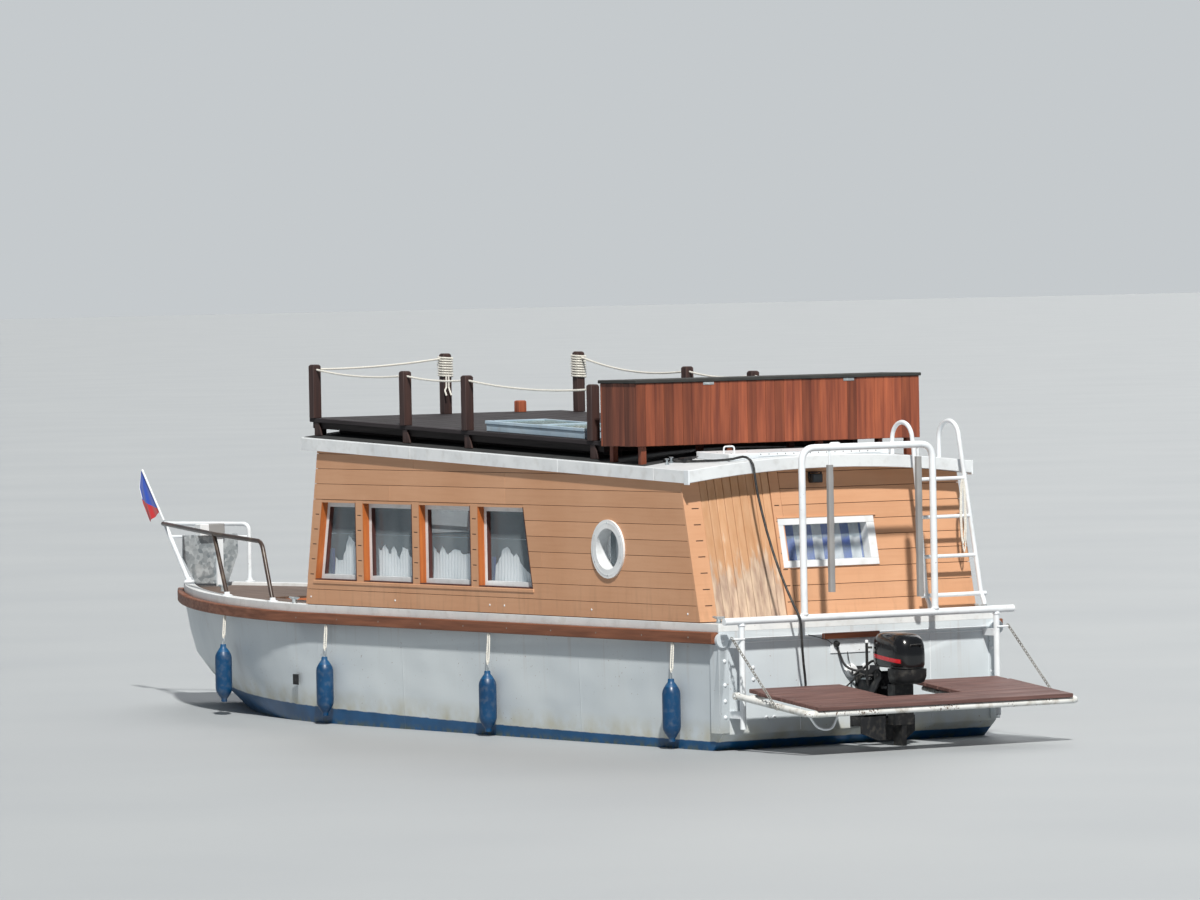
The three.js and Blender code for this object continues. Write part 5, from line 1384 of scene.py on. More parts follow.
def roof_deck():
    """Deck boards along the boat with an edge board round them, on beams and stub feet."""
    mesh = SLATS.grow("deck_boards", DECK_WOOD, Count=15, Start=(3.61, -1.036, DECK_LEVEL - 0.0145),
                      Step=(0.0, 0.148, 0.0), Size=(4.0, 0.1445, 0.0285), Seed=5)
    finished("deck_boards", moved(eased(mesh, 0.003), sloped), DECK_WOOD, replaces=("roof_deck",))
    edge = Shape()
    for y0, y1 in ((1.114, 1.150), (-1.150, -1.114)):
        edge.block(1.57, 5.65, y0, y1, DECK_LEVEL - 0.032, DECK_LEVEL, 0.6)
    for x0, x1 in ((1.57, 1.606), (5.614, 5.65)):
        edge.block(x0, x1, -1.113, 1.113, DECK_LEVEL - 0.032, DECK_LEVEL, 0.4)
    edge.warp(sloped)
    edge.chamfer(0.004)
    edge.made("deck_edge_boards", DECK_WOOD)
    # The deck's frame in near-black wood: painted shade under the deck.
    dressed("roof_deck_frame", UNDER_DECK_SHADE_WOOD, chamfer=0.003)
    deck_bearers()
    deck_posts()


def deck_bearers():
    """Long near-black bearers between the roof and the deck, painted shade that closes the view under the
    deck, with knees along the deck's sides.
    """
    bearers = Shape()
    for y in (-0.93, 0.0, 0.93):
        outline = [(x, roof_top(x, y) - 0.002) for x in (1.66, 5.54)]
        outline += [(x, deck_top(x) - 0.031) for x in (5.54, 1.66)]
        bearers.prism(outline, y - 0.02, y + 0.02, 0.5, lambda u, v, w: Vector((u, w, v)))
    bearers.made("deck_bearers", UNDER_DECK_SHADE_WOOD)
    knees = Shape()
    for x in (1.70, 3.41, 4.28, 5.56):
        foot, top = roof_top(x, 1.14) + 0.003, deck_top(x) - 0.032
        outline = [(x - 0.075, foot), (x + 0.030, foot), (x + 0.030, top), (x - 0.030, top)]
        for side in (-1, 1):
            knees.prism(outline, 1.1305, 1.1425, 0.5, lambda u, v, w: Vector((u, side * w, v)))
    knees.chamfer(0.002)
    knees.made("deck_knees", POST_WOOD)


def square_post(shape, x, y, heights, head):
    """A square post through its foot, shoulder and top, its head sloped in to a share of its width."""
    half = 0.035
    corners = ((-half, -half), (half, -half), (half, half), (-half, half))
    shape.rings([[(x + u * share, y + v * share, z) for u, v in corners]
                 for z, share in zip(heights, (1, 1, head))])


def deck_posts():
    """The posts of the rope rail, and one short stub."""
    stub = Shape()
    x, y = 5.57, -0.72
    foot = deck_top(x) - 0.001
    square_post(stub, x, y, (foot, foot + 0.082, foot + 0.0905), 0.75)
    stub.chamfer(0.002)
    stub.made("deck_stub_post", STUB_WOOD)
    posts = Shape()
    for x, y, height in POSTS:
        foot = deck_top(x) - 0.001
        square_post(posts, x, y, (foot, foot + height - 0.012, foot + height), 0.7)
    posts.chamfer(0.003)
    posts.made("deck_posts", POST_WOOD)


# Rope spans: from post, to post, sag; the rope runs through holes in the posts
ROPE_SPANS = [
    (0, 1, 0.030), (1, 2, 0.020), (2, 3, 0.035), (0, 4, 0.020), (5, 6, 0.060), (6, 7, 0.030), (7, 8, 0.040),
]


def rope_rail():
    """A rope from post top to post top, coiled round the two posts beside the open bow end."""
    knots = [Vector((x, y, deck_top(x) + height - 0.037)) for x, y, height in POSTS]
    lines = []
    for start, end, sag in ROPE_SPANS:
        lines.append(hanging(knots[start], knots[end], sag))
    for top, count in ((knots[4], 8), (knots[5], 9)):
        wrap = []
        for k in range((count - 1) * 16 + 14):
            a = 2 * math.pi * k / 16
            c, s = math.cos(a), math.sin(a)
            square = 0.0432 / max(abs(c), abs(s)) ** 0.82
            wrap.append(top + Vector((square * c, square * s, 0.008 - 0.0195 * k / 16)))
        lines.append(wrap)
    rope("rope_rail_line", lines, 0.0086, replaces=("rope_rail",))
    post_x, post_y, height = POSTS[4]
    tails = []
    for shift in (0.0, 0.022):
        x, y = post_x - 0.046, post_y + shift
        top = deck_top(x) + height - 0.165
        tail = [(x, y, top - 0.02 * k) for k in range(6)]
        tail += [(x - 0.012 * (k - 5), y + shift, top - 0.02 * k) for k in range(6, 9)]
        tails.append(tail)
    rope("rope_rail_tails", tails, 0.0075)


def skylight():
    """The skylight's frame, and its lid of two panes in a rim on two hinges."""
    dressed("skylight_frame", SKY_FRAME, chamfer=0.004)
    x0, x1, y0, y1 = 1.892, 3.238, 0.552, 1.088
    z0, z1 = DECK_LEVEL + 0.0553, DECK_LEVEL + 0.079
    width = 0.022
    rim = Shape()
    rim.block(x0, x1, y0, y0 + width, z0, z1)
    rim.block(x0, x1, y1 - width, y1, z0, z1)
    for x in (x0, (x0 + x1) / 2 - width / 2, x1 - width):
        rim.block(x, x + width, y0 + width, y1 - width, z0, z1)
    rim.warp(sloped)
    rim.chamfer(0.003)
    rim.made("skylight_rim", SKY_FRAME, "skylight_lid", ("skylight_lid",))
    pane = Shape()
    for start, end in ((x0 + width, (x0 + x1 - width) / 2), ((x0 + x1 + width) / 2, x1 - width)):
        pane.block(start + 0.001, end - 0.001, y0 + width + 0.001, y1 - width - 0.001, z0 + 0.006, z0 + 0.014)
    pane.warp(sloped)
    pane.made("skylight_pane", SKY_GLASS, "skylight_lid")
    knuckles = Shape()
    for x in (2.2, 2.93):
        z = z0 + ROOF_SLOPE * x
        knuckles.tube([(x - 0.03, y0 - 0.004, z), (x + 0.03, y0 - 0.004, z)], 0.007, 10)
    knuckles.made("skylight_hinges", ZINC, "skylight_lid")


def plank_face(name, finish, count, first, step, size, seed):
    """One face of the roof box: a row of upright planks."""
    mesh = SLATS.grow(name, finish, Count=count, Start=first, Step=step, Size=size, Seed=seed, Shift=0.003)
    finished(name, eased(mesh, 0.0028), finish, replaces=("bar_box",))


def bar_box():
    """Upright planks round a box that lies across the roof, on short legs, with a felted lid."""
    x0, x1, half, z0, z1, skin = 0.955, 1.43, 1.245, 2.155, 2.608, 0.022
    middle, tall, joint = (z0 + z1) / 2, z1 - z0, 0.0015
    count, end_count = 31, 6
    pitch, end_pitch = 2 * half / count, (x1 - x0 - 2 * skin) / end_count
    for name, x, seed in (("aft", x0 + skin / 2, 11), ("fore", x1 - skin / 2, 12)):
        plank_face(f"bar_planks_{name}", BAR_WOOD, count, (x, -half + pitch / 2, middle), (0.0, pitch, 0.0),
                   (skin, pitch - joint, tall), seed)
    # The two end faces take the darker wood, which also paints their shade.
    for name, side, seed in (("port", 1, 13), ("stbd", -1, 14)):
        first = (x0 + skin + end_pitch / 2, side * (half - skin / 2), middle)
        plank_face(f"bar_planks_{name}", BAR_END_WOOD_AND_SHADE, end_count, first, (end_pitch, 0.0, 0.0),
                   (end_pitch - joint, skin, tall), seed)
    inside = Shape()
    inside.block(x0 + skin, x1 - skin, -half + skin, half - skin, z0 + 0.002, z0 + skin)
    inside.made("bar_floor", POST_WOOD)
    legs = Shape()
    for x in (x0 + 0.03, x1 - 0.075):
        for y in (-1.19, -0.4, 0.4, 1.145):
            legs.block(x, x + 0.045, y, y + 0.045, roof_top(x, y) - 0.006, z0 + 0.001, 0.3)
    legs.chamfer(0.003)
    legs.made("bar_legs", BAR_WOOD)
    dressed("bar_lid", FELT, "bar_lid", 0.004)
    plates = Shape()
    for y in (-0.95, -0.2, 0.6, 1.1):
        plates.block(x1 + 0.0125, x1 + 0.016, y - 0.03, y + 0.03, 2.6085, 2.630)
        plates.tube([(x1 + 0.012, y - 0.03, 2.609), (x1 + 0.012, y + 0.03, 2.609)], 0.006, 10)
    plates.made("bar_lid_hinges", ZINC, "bar_lid")
    catches = Shape()
    for y in (-0.613, 0.620):
        catches.block(x0 - 0.0045, x0 - 0.0005, y - 0.047, y + 0.047, 2.586, 2.6065)
    catches.chamfer(0.001)
    catches.made("bar_catches", ZINC)


# Stern
RAIL_X = -0.14


def stern_tubes():
    """The rail across the stern with its arch and legs, and the pins for the hinge and the chains."""
    tubes = Shape()
    tubes.tube([(RAIL_X, -1.262, 0.927), (RAIL_X, 1.262, 0.927)], 0.026, 28)
    arch = [(RAIL_X, 0.57, 0.927), (RAIL_X, 0.57, 2.135), (RAIL_X, -0.57, 2.135), (RAIL_X, -0.57, 0.927)]
    tubes.tube(rounded(arch, 0.11, 10), 0.025, 24)
    arch_collar = [(0.0, 0), (0.026, 0), (0.030, 0.006), (0.030, 0.016), (0.026, 0.02), (0.0, 0.02)]
    leg_collar = [(0.0, 0), (0.024, 0), (0.029, 0.005), (0.026, 0.012), (0.0, 0.012)]
    for side in (-1, 1):
        y = side * 1.112
        tubes.tube([(RAIL_X, y, 0.16), (RAIL_X, y, 0.927)], 0.022, 24)
        for z in (0.26, 0.76):
            tubes.block(RAIL_X, -0.0003, y - 0.025, y + 0.025, z - 0.025, z + 0.025)
        tubes.tube([(RAIL_X, y, HINGE_Z), (RAIL_X, side * 1.189, HINGE_Z)], 0.0075, 14)
        tubes.tube([(RAIL_X - 0.02, side * 1.102, 0.8), (RAIL_X - 0.02, side * 1.2, 0.8)], 0.007, 14)
        tubes.turned(arch_collar, (RAIL_X, side * 0.57, 0.943), (0, 0, 1), 20)
        tubes.turned(leg_collar, (RAIL_X, y, 0.889), (0, 0, 1), 20)
    tubes.made("stern_tubes", RAIL_WHITE, replaces=("stern_rail",), smooth=38)
    for name, y, top, bottom in (("sleeve_port", 0.332, 2.010, 1.104), ("sleeve_stbd", -0.440, 2.049, 1.043)):
        hanging_sleeve(name, y, top, bottom)


def hanging_sleeve(name, y, top, bottom):
    """A square foam sleeve round the thin rod that it hangs by."""
    x = RAIL_X - 0.005
    sleeve = Shape()
    rings = []
    steps = 22
    for k in range(steps + 1):
        z = bottom + (top - bottom) * k / steps
        swell = 0.0222 + 0.0008 * math.sin(k * 1.7)
        section = []
        for a in turns(16, 0.5):
            c, s = math.cos(a), math.sin(a)
            reach = swell / max(abs(c), abs(s)) ** 0.75
            section.append((x + reach * c, y + reach * s, z))
        rings.append(section)
    sleeve.rings(rings)
    sleeve.made(f"{name}_foam", SLEEVE, replaces=(name,), smooth=30)
    stem = Shape()
    stem.tube([(x, y, bottom + 0.020), (x, y, 2.1097)], 0.0075, 12)
    stem.made(f"{name}_stem", RAIL_WHITE, smooth=30)


def aft_lamp():
    """A small black floodlight in a yoke under the eaves."""
    slab("lamp_housing", BLACK_PLASTIC, (0.392, 0.448, 0.018, 0.112, 1.868, 1.934), 0.006, ("lamp",), 35)
    lens = Shape()
    lens.block(0.3890, 0.3925, 0.026, 0.104, 1.876, 1.926)
    lens.made("lamp_lens", LAMP_GLASS, smooth=50)
    yoke = Shape()
    yoke.block(0.395, 0.4665, 0.057, 0.073, 1.938, 1.946)
    for y in (0.009, 0.113):
        yoke.block(0.418, 0.436, y, y + 0.008, 1.900, 1.946)
    yoke.block(0.418, 0.436, 0.009, 0.121, 1.940, 1.946)
    yoke.chamfer(0.001)
    yoke.made("lamp_yoke", BLACK_PLASTIC, replaces=("lamp",))


LADDER_FOOT_X, LADDER_FOOT_Z, LADDER_LEAN = 0.165, 1.03, 0.07
HOOK_X, HOOK_Z, SHOULDER_Z = 0.505, 2.285, 2.11
# Ladder side: y at the shoulder, and how far it spreads for each metre down
LADDER_SIDES = [(-0.675, 0.035), (-1.09, 0.104)]


def ladder_x(z):
    return LADDER_FOOT_X + (z - LADDER_FOOT_Z) * LADDER_LEAN


def ladder_y(side, z):
    shoulder_y, spread = LADDER_SIDES[side]
    return shoulder_y - (SHOULDER_Z - z) * spread


def ladder():
    """A tube ladder that hooks over the roof's edge and stands on the side deck."""
    hook_r = (HOOK_X - ladder_x(HOOK_Z)) / 2
    bow = [math.pi * step / 12 for step in range(13)]
    crook = [(HOOK_X - hook_r * (1 - math.cos(a)), HOOK_Z - hook_r * (1 - math.sin(a))) for a in bow]
    tubes = Shape()
    for side, (y, _) in enumerate(LADDER_SIDES):
        foot_y = ladder_y(side, LADDER_FOOT_Z)
        tubes.tube(rounded([
            (HOOK_X, y, roof_top(HOOK_X, y) + 0.001), *[(x, y, z) for x, z in crook],
            (ladder_x(SHOULDER_Z), y, SHOULDER_Z),
            (LADDER_FOOT_X, foot_y, LADDER_FOOT_Z),
            (LADDER_FOOT_X - 0.04, foot_y, LADDER_FOOT_Z - 0.06),
            (LADDER_FOOT_X - 0.04, foot_y, RIM_TOP + 0.0006),
        ], 0.045, 8), 0.016, 18)
    for z in (1.87, 1.595, 1.31):
        tubes.tube([(ladder_x(z), ladder_y(0, z), z), (ladder_x(z), ladder_y(1, z), z)], 0.014, 16)
    x, z = LADDER_FOOT_X, LADDER_FOOT_Z
    tubes.tube([(x, ladder_y(0, z) + 0.04, z), (x, ladder_y(1, z) - 0.04, z)], 0.016, 18)
    tubes.made("ladder_tubes", RAIL_WHITE, replaces=("ladder",), smooth=38)
    rope_hank(ladder_y(1, 1.72) + 0.055)


def rope_hank(y):
    """Two long loops of thin rope hung on the ladder."""
    top = 1.86
    hank = []
    for loop in range(2):
        low = 1.33 + 0.06 * loop
        x = ladder_x(1.7) - 0.022 - 0.006 * loop
        for k in range(13):
            a = 2 * math.pi * k / 12
            z = (top + low) / 2 + (top - low) / 2 * math.cos(a)
            hank.append((x, y + 0.014 * loop + 0.02 * math.sin(a), z))
    rope("ladder_rope_hank", [hank], 0.006)


CHAIN_FOOT_X, CHAIN_Y = -0.69, 1.205


def platform_pieces():
    """The swim platform, drooping from its hinge."""
    platform_planks()
    platform_tube()
    profile = [(0.0078, 0.0), (0.026, 0.0), (0.026, 0.04), (0.0078, 0.04)]
    eyes = Shape()
    for side in (-1, 1):
        eyes.hoop(profile, Vector((HINGE_X, side * 1.145, HINGE_Z)), Vector((0, side, 0)), 24)
    eyes.made("platform_eyes", CHIPPED_WHITE, "platform", smooth=38)
    keeper = Shape()
    keeper.tube(rounded([(-0.93, 1.100, 0.300), (-0.90, 1.010, 0.200), (-0.90, 0.936, 0.176),
                         (-0.90, 0.872, 0.186), (-0.92, 0.832, 0.290)], 0.05), 0.0085, 12)
    keeper.made("platform_keeper", RAIL_WHITE, "platform", smooth=60)


def platform_planks():
    """Boards across the platform with the motor's notch in them, and their bolts."""
    z0, thick = HINGE_Z + 0.0243, 0.028
    edges = [-1.072, -0.922, -0.7635, -0.612, -0.462, -0.312, -0.17]
    notch_port, notch_stbd = 0.3005, -0.3505
    tones = random.Random(21)
    boards = Shape()
    bolts = []
    for low, high in zip(edges, edges[1:]):
        end = 1.082 if low > -0.32 else 1.105
        runs = [(-end, end)]
        if low > -0.765:
            runs = [(-end, notch_stbd), (notch_port, end)]
        for y0, y1 in runs:
            boards.block(low + 0.003, high - 0.003, y0, y1, z0, z0 + thick, tones.uniform(0.2, 0.8))
        for y in (-1.04, -0.42, 0.38, 1.04):
            bolts.append(drooped(Vector(((low + high) / 2, y, z0 + thick - 0.0005))))
    boards.warp(drooped)
    boards.chamfer(0.004)
    boards.made("platform_planks", STEP_WOOD, "platform", ("platform_boards",))
    heads("platform_bolts", bolts, DARK_RAIL, 0.006, (0.0, 0.0, 0.0), 0.45, "platform")


def platform_tube():
    """The platform's tube frame, with its cross tubes, chain pins and hinge lugs."""
    rim_x, rim_y, cross_x, lug = -1.06 + 0.024, 1.165, -0.23, 0.014
    near_x = HINGE_X - 0.034
    tube = Shape()
    tube.tube(rounded([(near_x, rim_y, HINGE_Z), (rim_x, rim_y, HINGE_Z), (rim_x, -rim_y, HINGE_Z),
                       (near_x, -rim_y, HINGE_Z)], 0.06, 10), 0.024, 24)
    for y0, y1 in ((rim_y, 0.34), (-0.39, -rim_y)):
        tube.tube([(cross_x, y0, HINGE_Z), (cross_x, y1, HINGE_Z)], 0.016, 16)
    for y in (0.34, -0.39):
        tube.tube([(cross_x, y, HINGE_Z), (rim_x, y, HINGE_Z)], 0.016, 16)
    for side in (-1, 1):
        y = side * rim_y
        tube.tube([(CHAIN_FOOT_X, y, HINGE_Z), (CHAIN_FOOT_X, side * 1.1957, HINGE_Z)], 0.007, 12)
        tube.block(HINGE_X - 0.04, HINGE_X - 0.02, y - lug, y + lug, HINGE_Z - lug, HINGE_Z + lug)
    tube.warp(drooped)
    tube.made("platform_tube", CHIPPED_WHITE, "platform", ("platform_frame",), smooth=38)


def chains():
    """A chain from the stern rail to each side of the platform."""
    foot_z = HINGE_Z + (CHAIN_FOOT_X - HINGE_X) * DROOP - 0.003
    for name, side in (("chain_port", 1), ("chain_stbd", -1)):
        line = [(-0.16, side * CHAIN_Y, 0.803), (CHAIN_FOOT_X, side * CHAIN_Y, foot_z)]
        mesh = CHAIN.grow(f"{name}_links", CHAIN_STEEL, polyline(f"{name}_line", [line]),
                          Pitch=0.0290, Wire=0.0032, Width=0.0180, Length=0.038)
        finished(f"{name}_links", mesh, CHAIN_STEEL, name, (name,), smooth=60)


def transom_fittings():
    """Bolts, pins, weld lines, the motor's pad, a plate with its knob, a gland and wires on the transom."""
    bolts = []
    for side, y in ((1, 1.175), (-1, 1.160)):
        bolts += [(-0.010, side * y, z) for z in (0.641, 0.471, 0.357, 0.243)]
    bolts += [(0.0, 0.925, 0.586), (0.0, 0.925, 0.501), (0.0, 0.816, 0.225), (0.0, 0.751, 0.225)]
    heads("transom_bolts", bolts, RAIL_WHITE, 0.015, (0.0, -math.pi / 2, 0.0), 0.7)
    pins = [(-0.030, side * 1.20, 0.79) for side in (1, -1)]
    heads("ear_pins", pins, RAIL_WHITE, 0.013, (0.0, -math.pi / 2, 0.0), 0.5)
    welds = Shape()
    for z in (0.768, 0.797):
        welds.tube([(-0.001, -1.12, z), (-0.001, 1.12, z)], 0.0035, 8)
    for y in (0.525, -0.62):
        welds.tube([(-0.001, y, 0.13), (-0.001, y, 0.76)], 0.003, 8)
    welds.made("transom_welds", RAIL_WHITE, smooth=60)
    slab("transom_pad", PAD_WOOD, (-0.0312, -0.0005, -0.1612, 0.3272, 0.7608, 0.8062), 0.004)
    slab("transom_plate", RAIL_WHITE, (-0.008, -0.0003, -0.09, 0.257, 0.658, 0.757), 0.002)
    knob = Shape()
    knob.turned([(0, 0), (0.022, 0), (0.024, 0.012), (0.016, 0.03), (0.0, 0.034)], (-0.008, 0.212, 0.725),
                (-1, 0, 0))
    knob.made("transom_knob", BLACK_PLASTIC)
    flange = [(0, 0), (0.052, 0), (0.052, 0.006), (0.044, 0.011), (0.041, 0.03), (0.034, 0.036), (0, 0.038)]
    gland = Shape()
    gland.turned(flange, (-0.0005, 0.082, 0.528), (-1, 0, 0), 32)
    gland.turned([(0, 0), (0.030, 0), (0.028, 0.016), (0, 0.020)], (-0.0005, -0.045, 0.548), (-1, 0, 0), 24)
    gland.made("transom_gland", FRAME_WHITE, smooth=35)
    wires = Shape()
    wires.tube([(-0.036, 0.100, 0.540), (-0.024, 0.112, 0.610), (-0.010, 0.112, 0.665)], 0.003, 8)
    wires.tube([(-0.012, 0.450, 0.800), (-0.030, 0.380, 0.780), (-0.034, 0.300, 0.757),
                (-0.014, 0.247, 0.727)], 0.0028, 8)
    wires.made("transom_wires", HOSE_RUBBER, smooth=60)


# Motor
MOTOR_Y = -0.06


def motor():
    """The motor on its bracket, with its cowl, hoses and gear rod."""
    for name, finish, body in (
        ("motor_bracket", MOTOR_GREY, "hull"), ("motor_swivel", MOTOR_GREY, "motor_swivel"),
        ("motor_leg", BLACK_PLASTIC, "motor"), ("propeller", BLACK_PLASTIC, "propeller"),
    ):
        dressed(name, finish, body, 0.004)
    cowl(MOTOR_Y)
    motor_gear(MOTOR_Y)


def cowl(y):
    """The cowl: a rounded lid over a lower pan, with a grip at its back."""
    def oval(x0, x1, half, z, power=3.2):
        centre, reach = (x0 + x1) / 2, (x1 - x0) / 2
        ring = []
        for a in turns(40):
            u, v = squared(a, 2 / power)
            ring.append((centre + reach * u, y + half * v, z + 0.03 * (centre + reach * u + 0.4)))
        return ring

    lid = Shape()
    lid.rings([oval(x0, x1, half, z) for x0, x1, half, z in (
        (-0.606, -0.200, 0.124, 0.571), (-0.612, -0.194, 0.130, 0.585), (-0.613, -0.192, 0.1315, 0.66),
        (-0.606, -0.197, 0.129, 0.72), (-0.590, -0.210, 0.121, 0.765), (-0.563, -0.235, 0.106, 0.790),
        (-0.52, -0.275, 0.082, 0.802), (-0.46, -0.33, 0.045, 0.808),
    )])
    lid.made("motor_cowl_lid", COWL, "motor", ("motor_cowl",), smooth=50)
    pan = Shape()
    pan.rings([oval(x0, x1, half, z, 3.6) for x0, x1, half, z in (
        (-0.560, -0.400, 0.095, 0.448), (-0.590, -0.398, 0.115, 0.462), (-0.604, -0.396, 0.127, 0.50),
        (-0.606, -0.394, 0.128, 0.555),
    )])
    pan.rings([oval(x0, x1, half, z, 3.4) for x0, x1, half, z in (
        (-0.598, -0.208, 0.120, 0.5665), (-0.602, -0.204, 0.123, 0.5625), (-0.602, -0.204, 0.123, 0.572),
        (-0.596, -0.210, 0.119, 0.578),
    )])
    pan.made("motor_pan", BLACK_PLASTIC, "motor", smooth=50)
    grip = Shape()
    grip.tube(rounded([(-0.604, y - 0.05, 0.70), (-0.614, y - 0.05, 0.725), (-0.614, y + 0.05, 0.725),
                       (-0.604, y + 0.05, 0.70)], 0.01), 0.006, 10)
    grip.made("motor_grip", BLACK_PLASTIC, "motor")


def motor_gear(y):
    """Hoses to the transom, clamp screws, and the gear rod with its cap."""
    # Hose: its route, how far its corners bend, its radius
    routes = [
        ([(-0.205, y + 0.05, 0.60), (-0.16, y + 0.07, 0.60), (-0.10, y + 0.13, 0.52), (-0.04, y + 0.22, 0.56),
          (-0.006, y + 0.26, 0.70)], 0.05, 0.009),
        ([(-0.205, y + 0.13, 0.520), (-0.150, y + 0.16, 0.545), (-0.080, y + 0.18, 0.490),
          (-0.032, y + 0.150, 0.530)], 0.04, 0.0075),
        ([(-0.205, y + 0.11, 0.475), (-0.140, y + 0.16, 0.520), (-0.070, y + 0.20, 0.440),
          (-0.004, y + 0.21, 0.400)], 0.04, 0.006),
    ]
    hoses = Shape()
    for route, bend, radius in routes:
        hoses.tube(rounded(route, bend), radius, 12)
    hoses.made("motor_hose", HOSE_RUBBER)
    clamp_x, clamp_z = -0.13, 0.47
    clamps = Shape()
    for side in (-1, 1):
        middle = y + side * 0.085
        clamps.tube([(-0.055, middle, clamp_z), (clamp_x, middle, clamp_z)], 0.009, 10)
        clamps.tube([(clamp_x, middle - 0.03, clamp_z), (clamp_x, middle + 0.03, clamp_z)], 0.005, 8)
    clamps.made("motor_clamps", ZINC)
    rod_x, rod_y = -0.215, y + 0.148
    rod = Shape()
    rod.tube([(rod_x, rod_y, 0.462), (rod_x, rod_y, 0.735)], 0.0105, 16)
    for z in (0.50, 0.70):
        rod.tube([(rod_x, rod_y, z), (rod_x - 0.025, rod_y - 0.03, z)], 0.008, 10)
    rod.made("motor_shift_rod", BLACK_PLASTIC, "motor")
    cap = Shape()
    cap.turned([(0, 0), (0.0125, 0), (0.0125, 0.014), (0.009, 0.020), (0, 0.021)], (rod_x, rod_y, 0.734),
               (0, 0, 1), 16)
    cap.made("motor_rod_cap", FRAME_WHITE, "motor")


# Bow
def rail_foot(x):
    return RIM_TOP - 0.001 + lift(x)


def bow_rails():
    """The pulpit's dark and white rails, the starboard side rail, and the flanges at their feet."""
    top, bow_x, legs_x, legs_y = 1.415, 9.90, 9.08, -0.33
    port = Shape()
    port.tube(rounded([(bow_x, 0, top), (7.45, 0.96, top - 0.01), (6.45, 1.12, top - 0.045),
                       (6.25, 1.15, rail_foot(6.25))], 0.07, 8), 0.017, 20)
    port.tube([(7.45, 0.96, top - 0.01), (7.28, 0.95, rail_foot(7.35))], 0.017, 20)
    port.made("pulpit_port_rail", DARK_RAIL, replaces=("pulpit",), smooth=38)
    white = Shape()
    white.tube(rounded([(bow_x - 0.01, 0, top), (legs_x, legs_y, top), (legs_x, legs_y, rail_foot(legs_x))],
                       0.07, 8), 0.017, 20)
    white.tube([(9.87, 0, top), (9.50, 0, rail_foot(9.50))], 0.017, 20)
    white.tube([(legs_x, legs_y, 1.31), (9.786, 0, 1.31)], 0.012, 16)
    white.ball((bow_x, 0, top), 0.0185, 1.0)
    white.made("pulpit_white_rail", RAIL_WHITE, replaces=("pulpit",), smooth=38)
    stbd = Shape()
    stbd.tube(rounded([(8.20, -0.65, rail_foot(8.2)), (8.15, -0.69, top - 0.006), (7.45, -0.96, top - 0.01),
                       (6.45, -1.12, top - 0.045), (6.25, -1.15, rail_foot(6.25))], 0.07, 8), 0.017, 20)
    stbd.made("side_rail_tube", DARK_RAIL, replaces=("side_rail_stbd",), smooth=38)
    flange = [(0, 0), (0.042, 0), (0.042, 0.006), (0.024, 0.010), (0.021, 0.03), (0, 0.03)]
    flanges = Shape()
    for x, y in ((6.25, 1.15), (7.28, 0.95), (legs_x, legs_y), (9.50, 0.0), (8.20, -0.65), (6.25, -1.15)):
        flanges.turned(flange, (x, y, rail_foot(x) + 0.0008), (0, 0, 1), 24)
    flanges.made("rail_flanges", RAIL_WHITE, smooth=30)


def bow_shield():
    """A six-sided galvanised plate on a post, with a white box and a grey case on top."""
    x = 9.0
    base = SHEER + 0.0003 + 0.030 + 0.0003
    post = (x - 0.015, x + 0.009, -0.03, 0.03, base + lift(x), 1.34)
    slab("shield_post", RAIL_WHITE, post, 0.002, ("bow_shield",))
    outline = [
        (-0.180, 1.345), (-0.182, 1.180), (-0.080, 0.940), (0.215, 0.950), (0.340, 1.165), (0.335, 1.345),
    ]
    plate = Shape()
    plate.prism(outline, x + 0.010, x + 0.018, 0.5, lambda u, v, w: Vector((w, u, v)))
    plate.chamfer(0.002)
    plate.made("shield_plate", ZINC, replaces=("bow_shield",))
    half, low, high = 0.045, 1.335, 1.431
    slab("shield_box", FRAME_WHITE, (x - half, x + half, 0.116, 0.198, low, high), 0.006, ("bow_shield",))
    slab("shield_case", SLEEVE, (x - half, x + half, -0.030, 0.1155, low, high), 0.006)
    bolts = [(x + 0.018, y, z) for y in (-0.02, 0.02) for z in (1.05, 1.28)]
    heads("shield_bolts", bolts, ZINC, 0.008, (0.0, math.pi / 2, 0.0), 0.6)


# Flag: points up its edge at the staff and up its free edge, as (x, z)
FLAG_INNER = [(9.945, 1.512), (10.036, 1.623), (10.127, 1.734), (10.216, 1.840)]
FLAG_OUTER = [(10.125, 1.424), (10.228, 1.575), (10.276, 1.700), (10.240, 1.838)]


def flag():
    """A small flag that hangs limp from the top of its leaning staff."""
    foot, head = Vector((9.885, 0, 1.439)), Vector((10.222, 0, 1.850))
    staff = Shape()
    staff.tube([foot, head], 0.0085, 14)
    staff.ball(head - (head - foot).normalized() * 0.006, 0.0105, 0.6)
    staff.made("flag_staff", RAIL_WHITE, replaces=("flagstaff",), smooth=50)
    inner, outer = ([Vector((x, 0, z)) for x, z in edge] for edge in (FLAG_INNER, FLAG_OUTER))
    columns, rows, widest_row = 40, 44, 16
    grid = []
    for i in range(columns + 1):
        s = i / columns
        slack = math.sin(math.pi * min(1.0, s * 1.05))
        column = []
        for j in range(rows + 1):
            t = j / rows
            step = min(int(t * 3), 2)
            share = t * 3 - step
            near = inner[step].lerp(inner[step + 1], share)
            far = outer[step].lerp(outer[step + 1], share)
            place = near.lerp(far, s)
            place.y += 0.0075 * math.sin(11 * s + 2.4 * t) * s ** 0.6 * (1.2 - t)
            place.z -= 0.004 * slack * (1 - t)
            column.append(place)
        grid.append(column)
    cloth, area = cloth_mesh("flag_cloth", grid)
    piece = finished("flag_cloth", cloth, FLAG, replaces=("flag",), smooth=80)


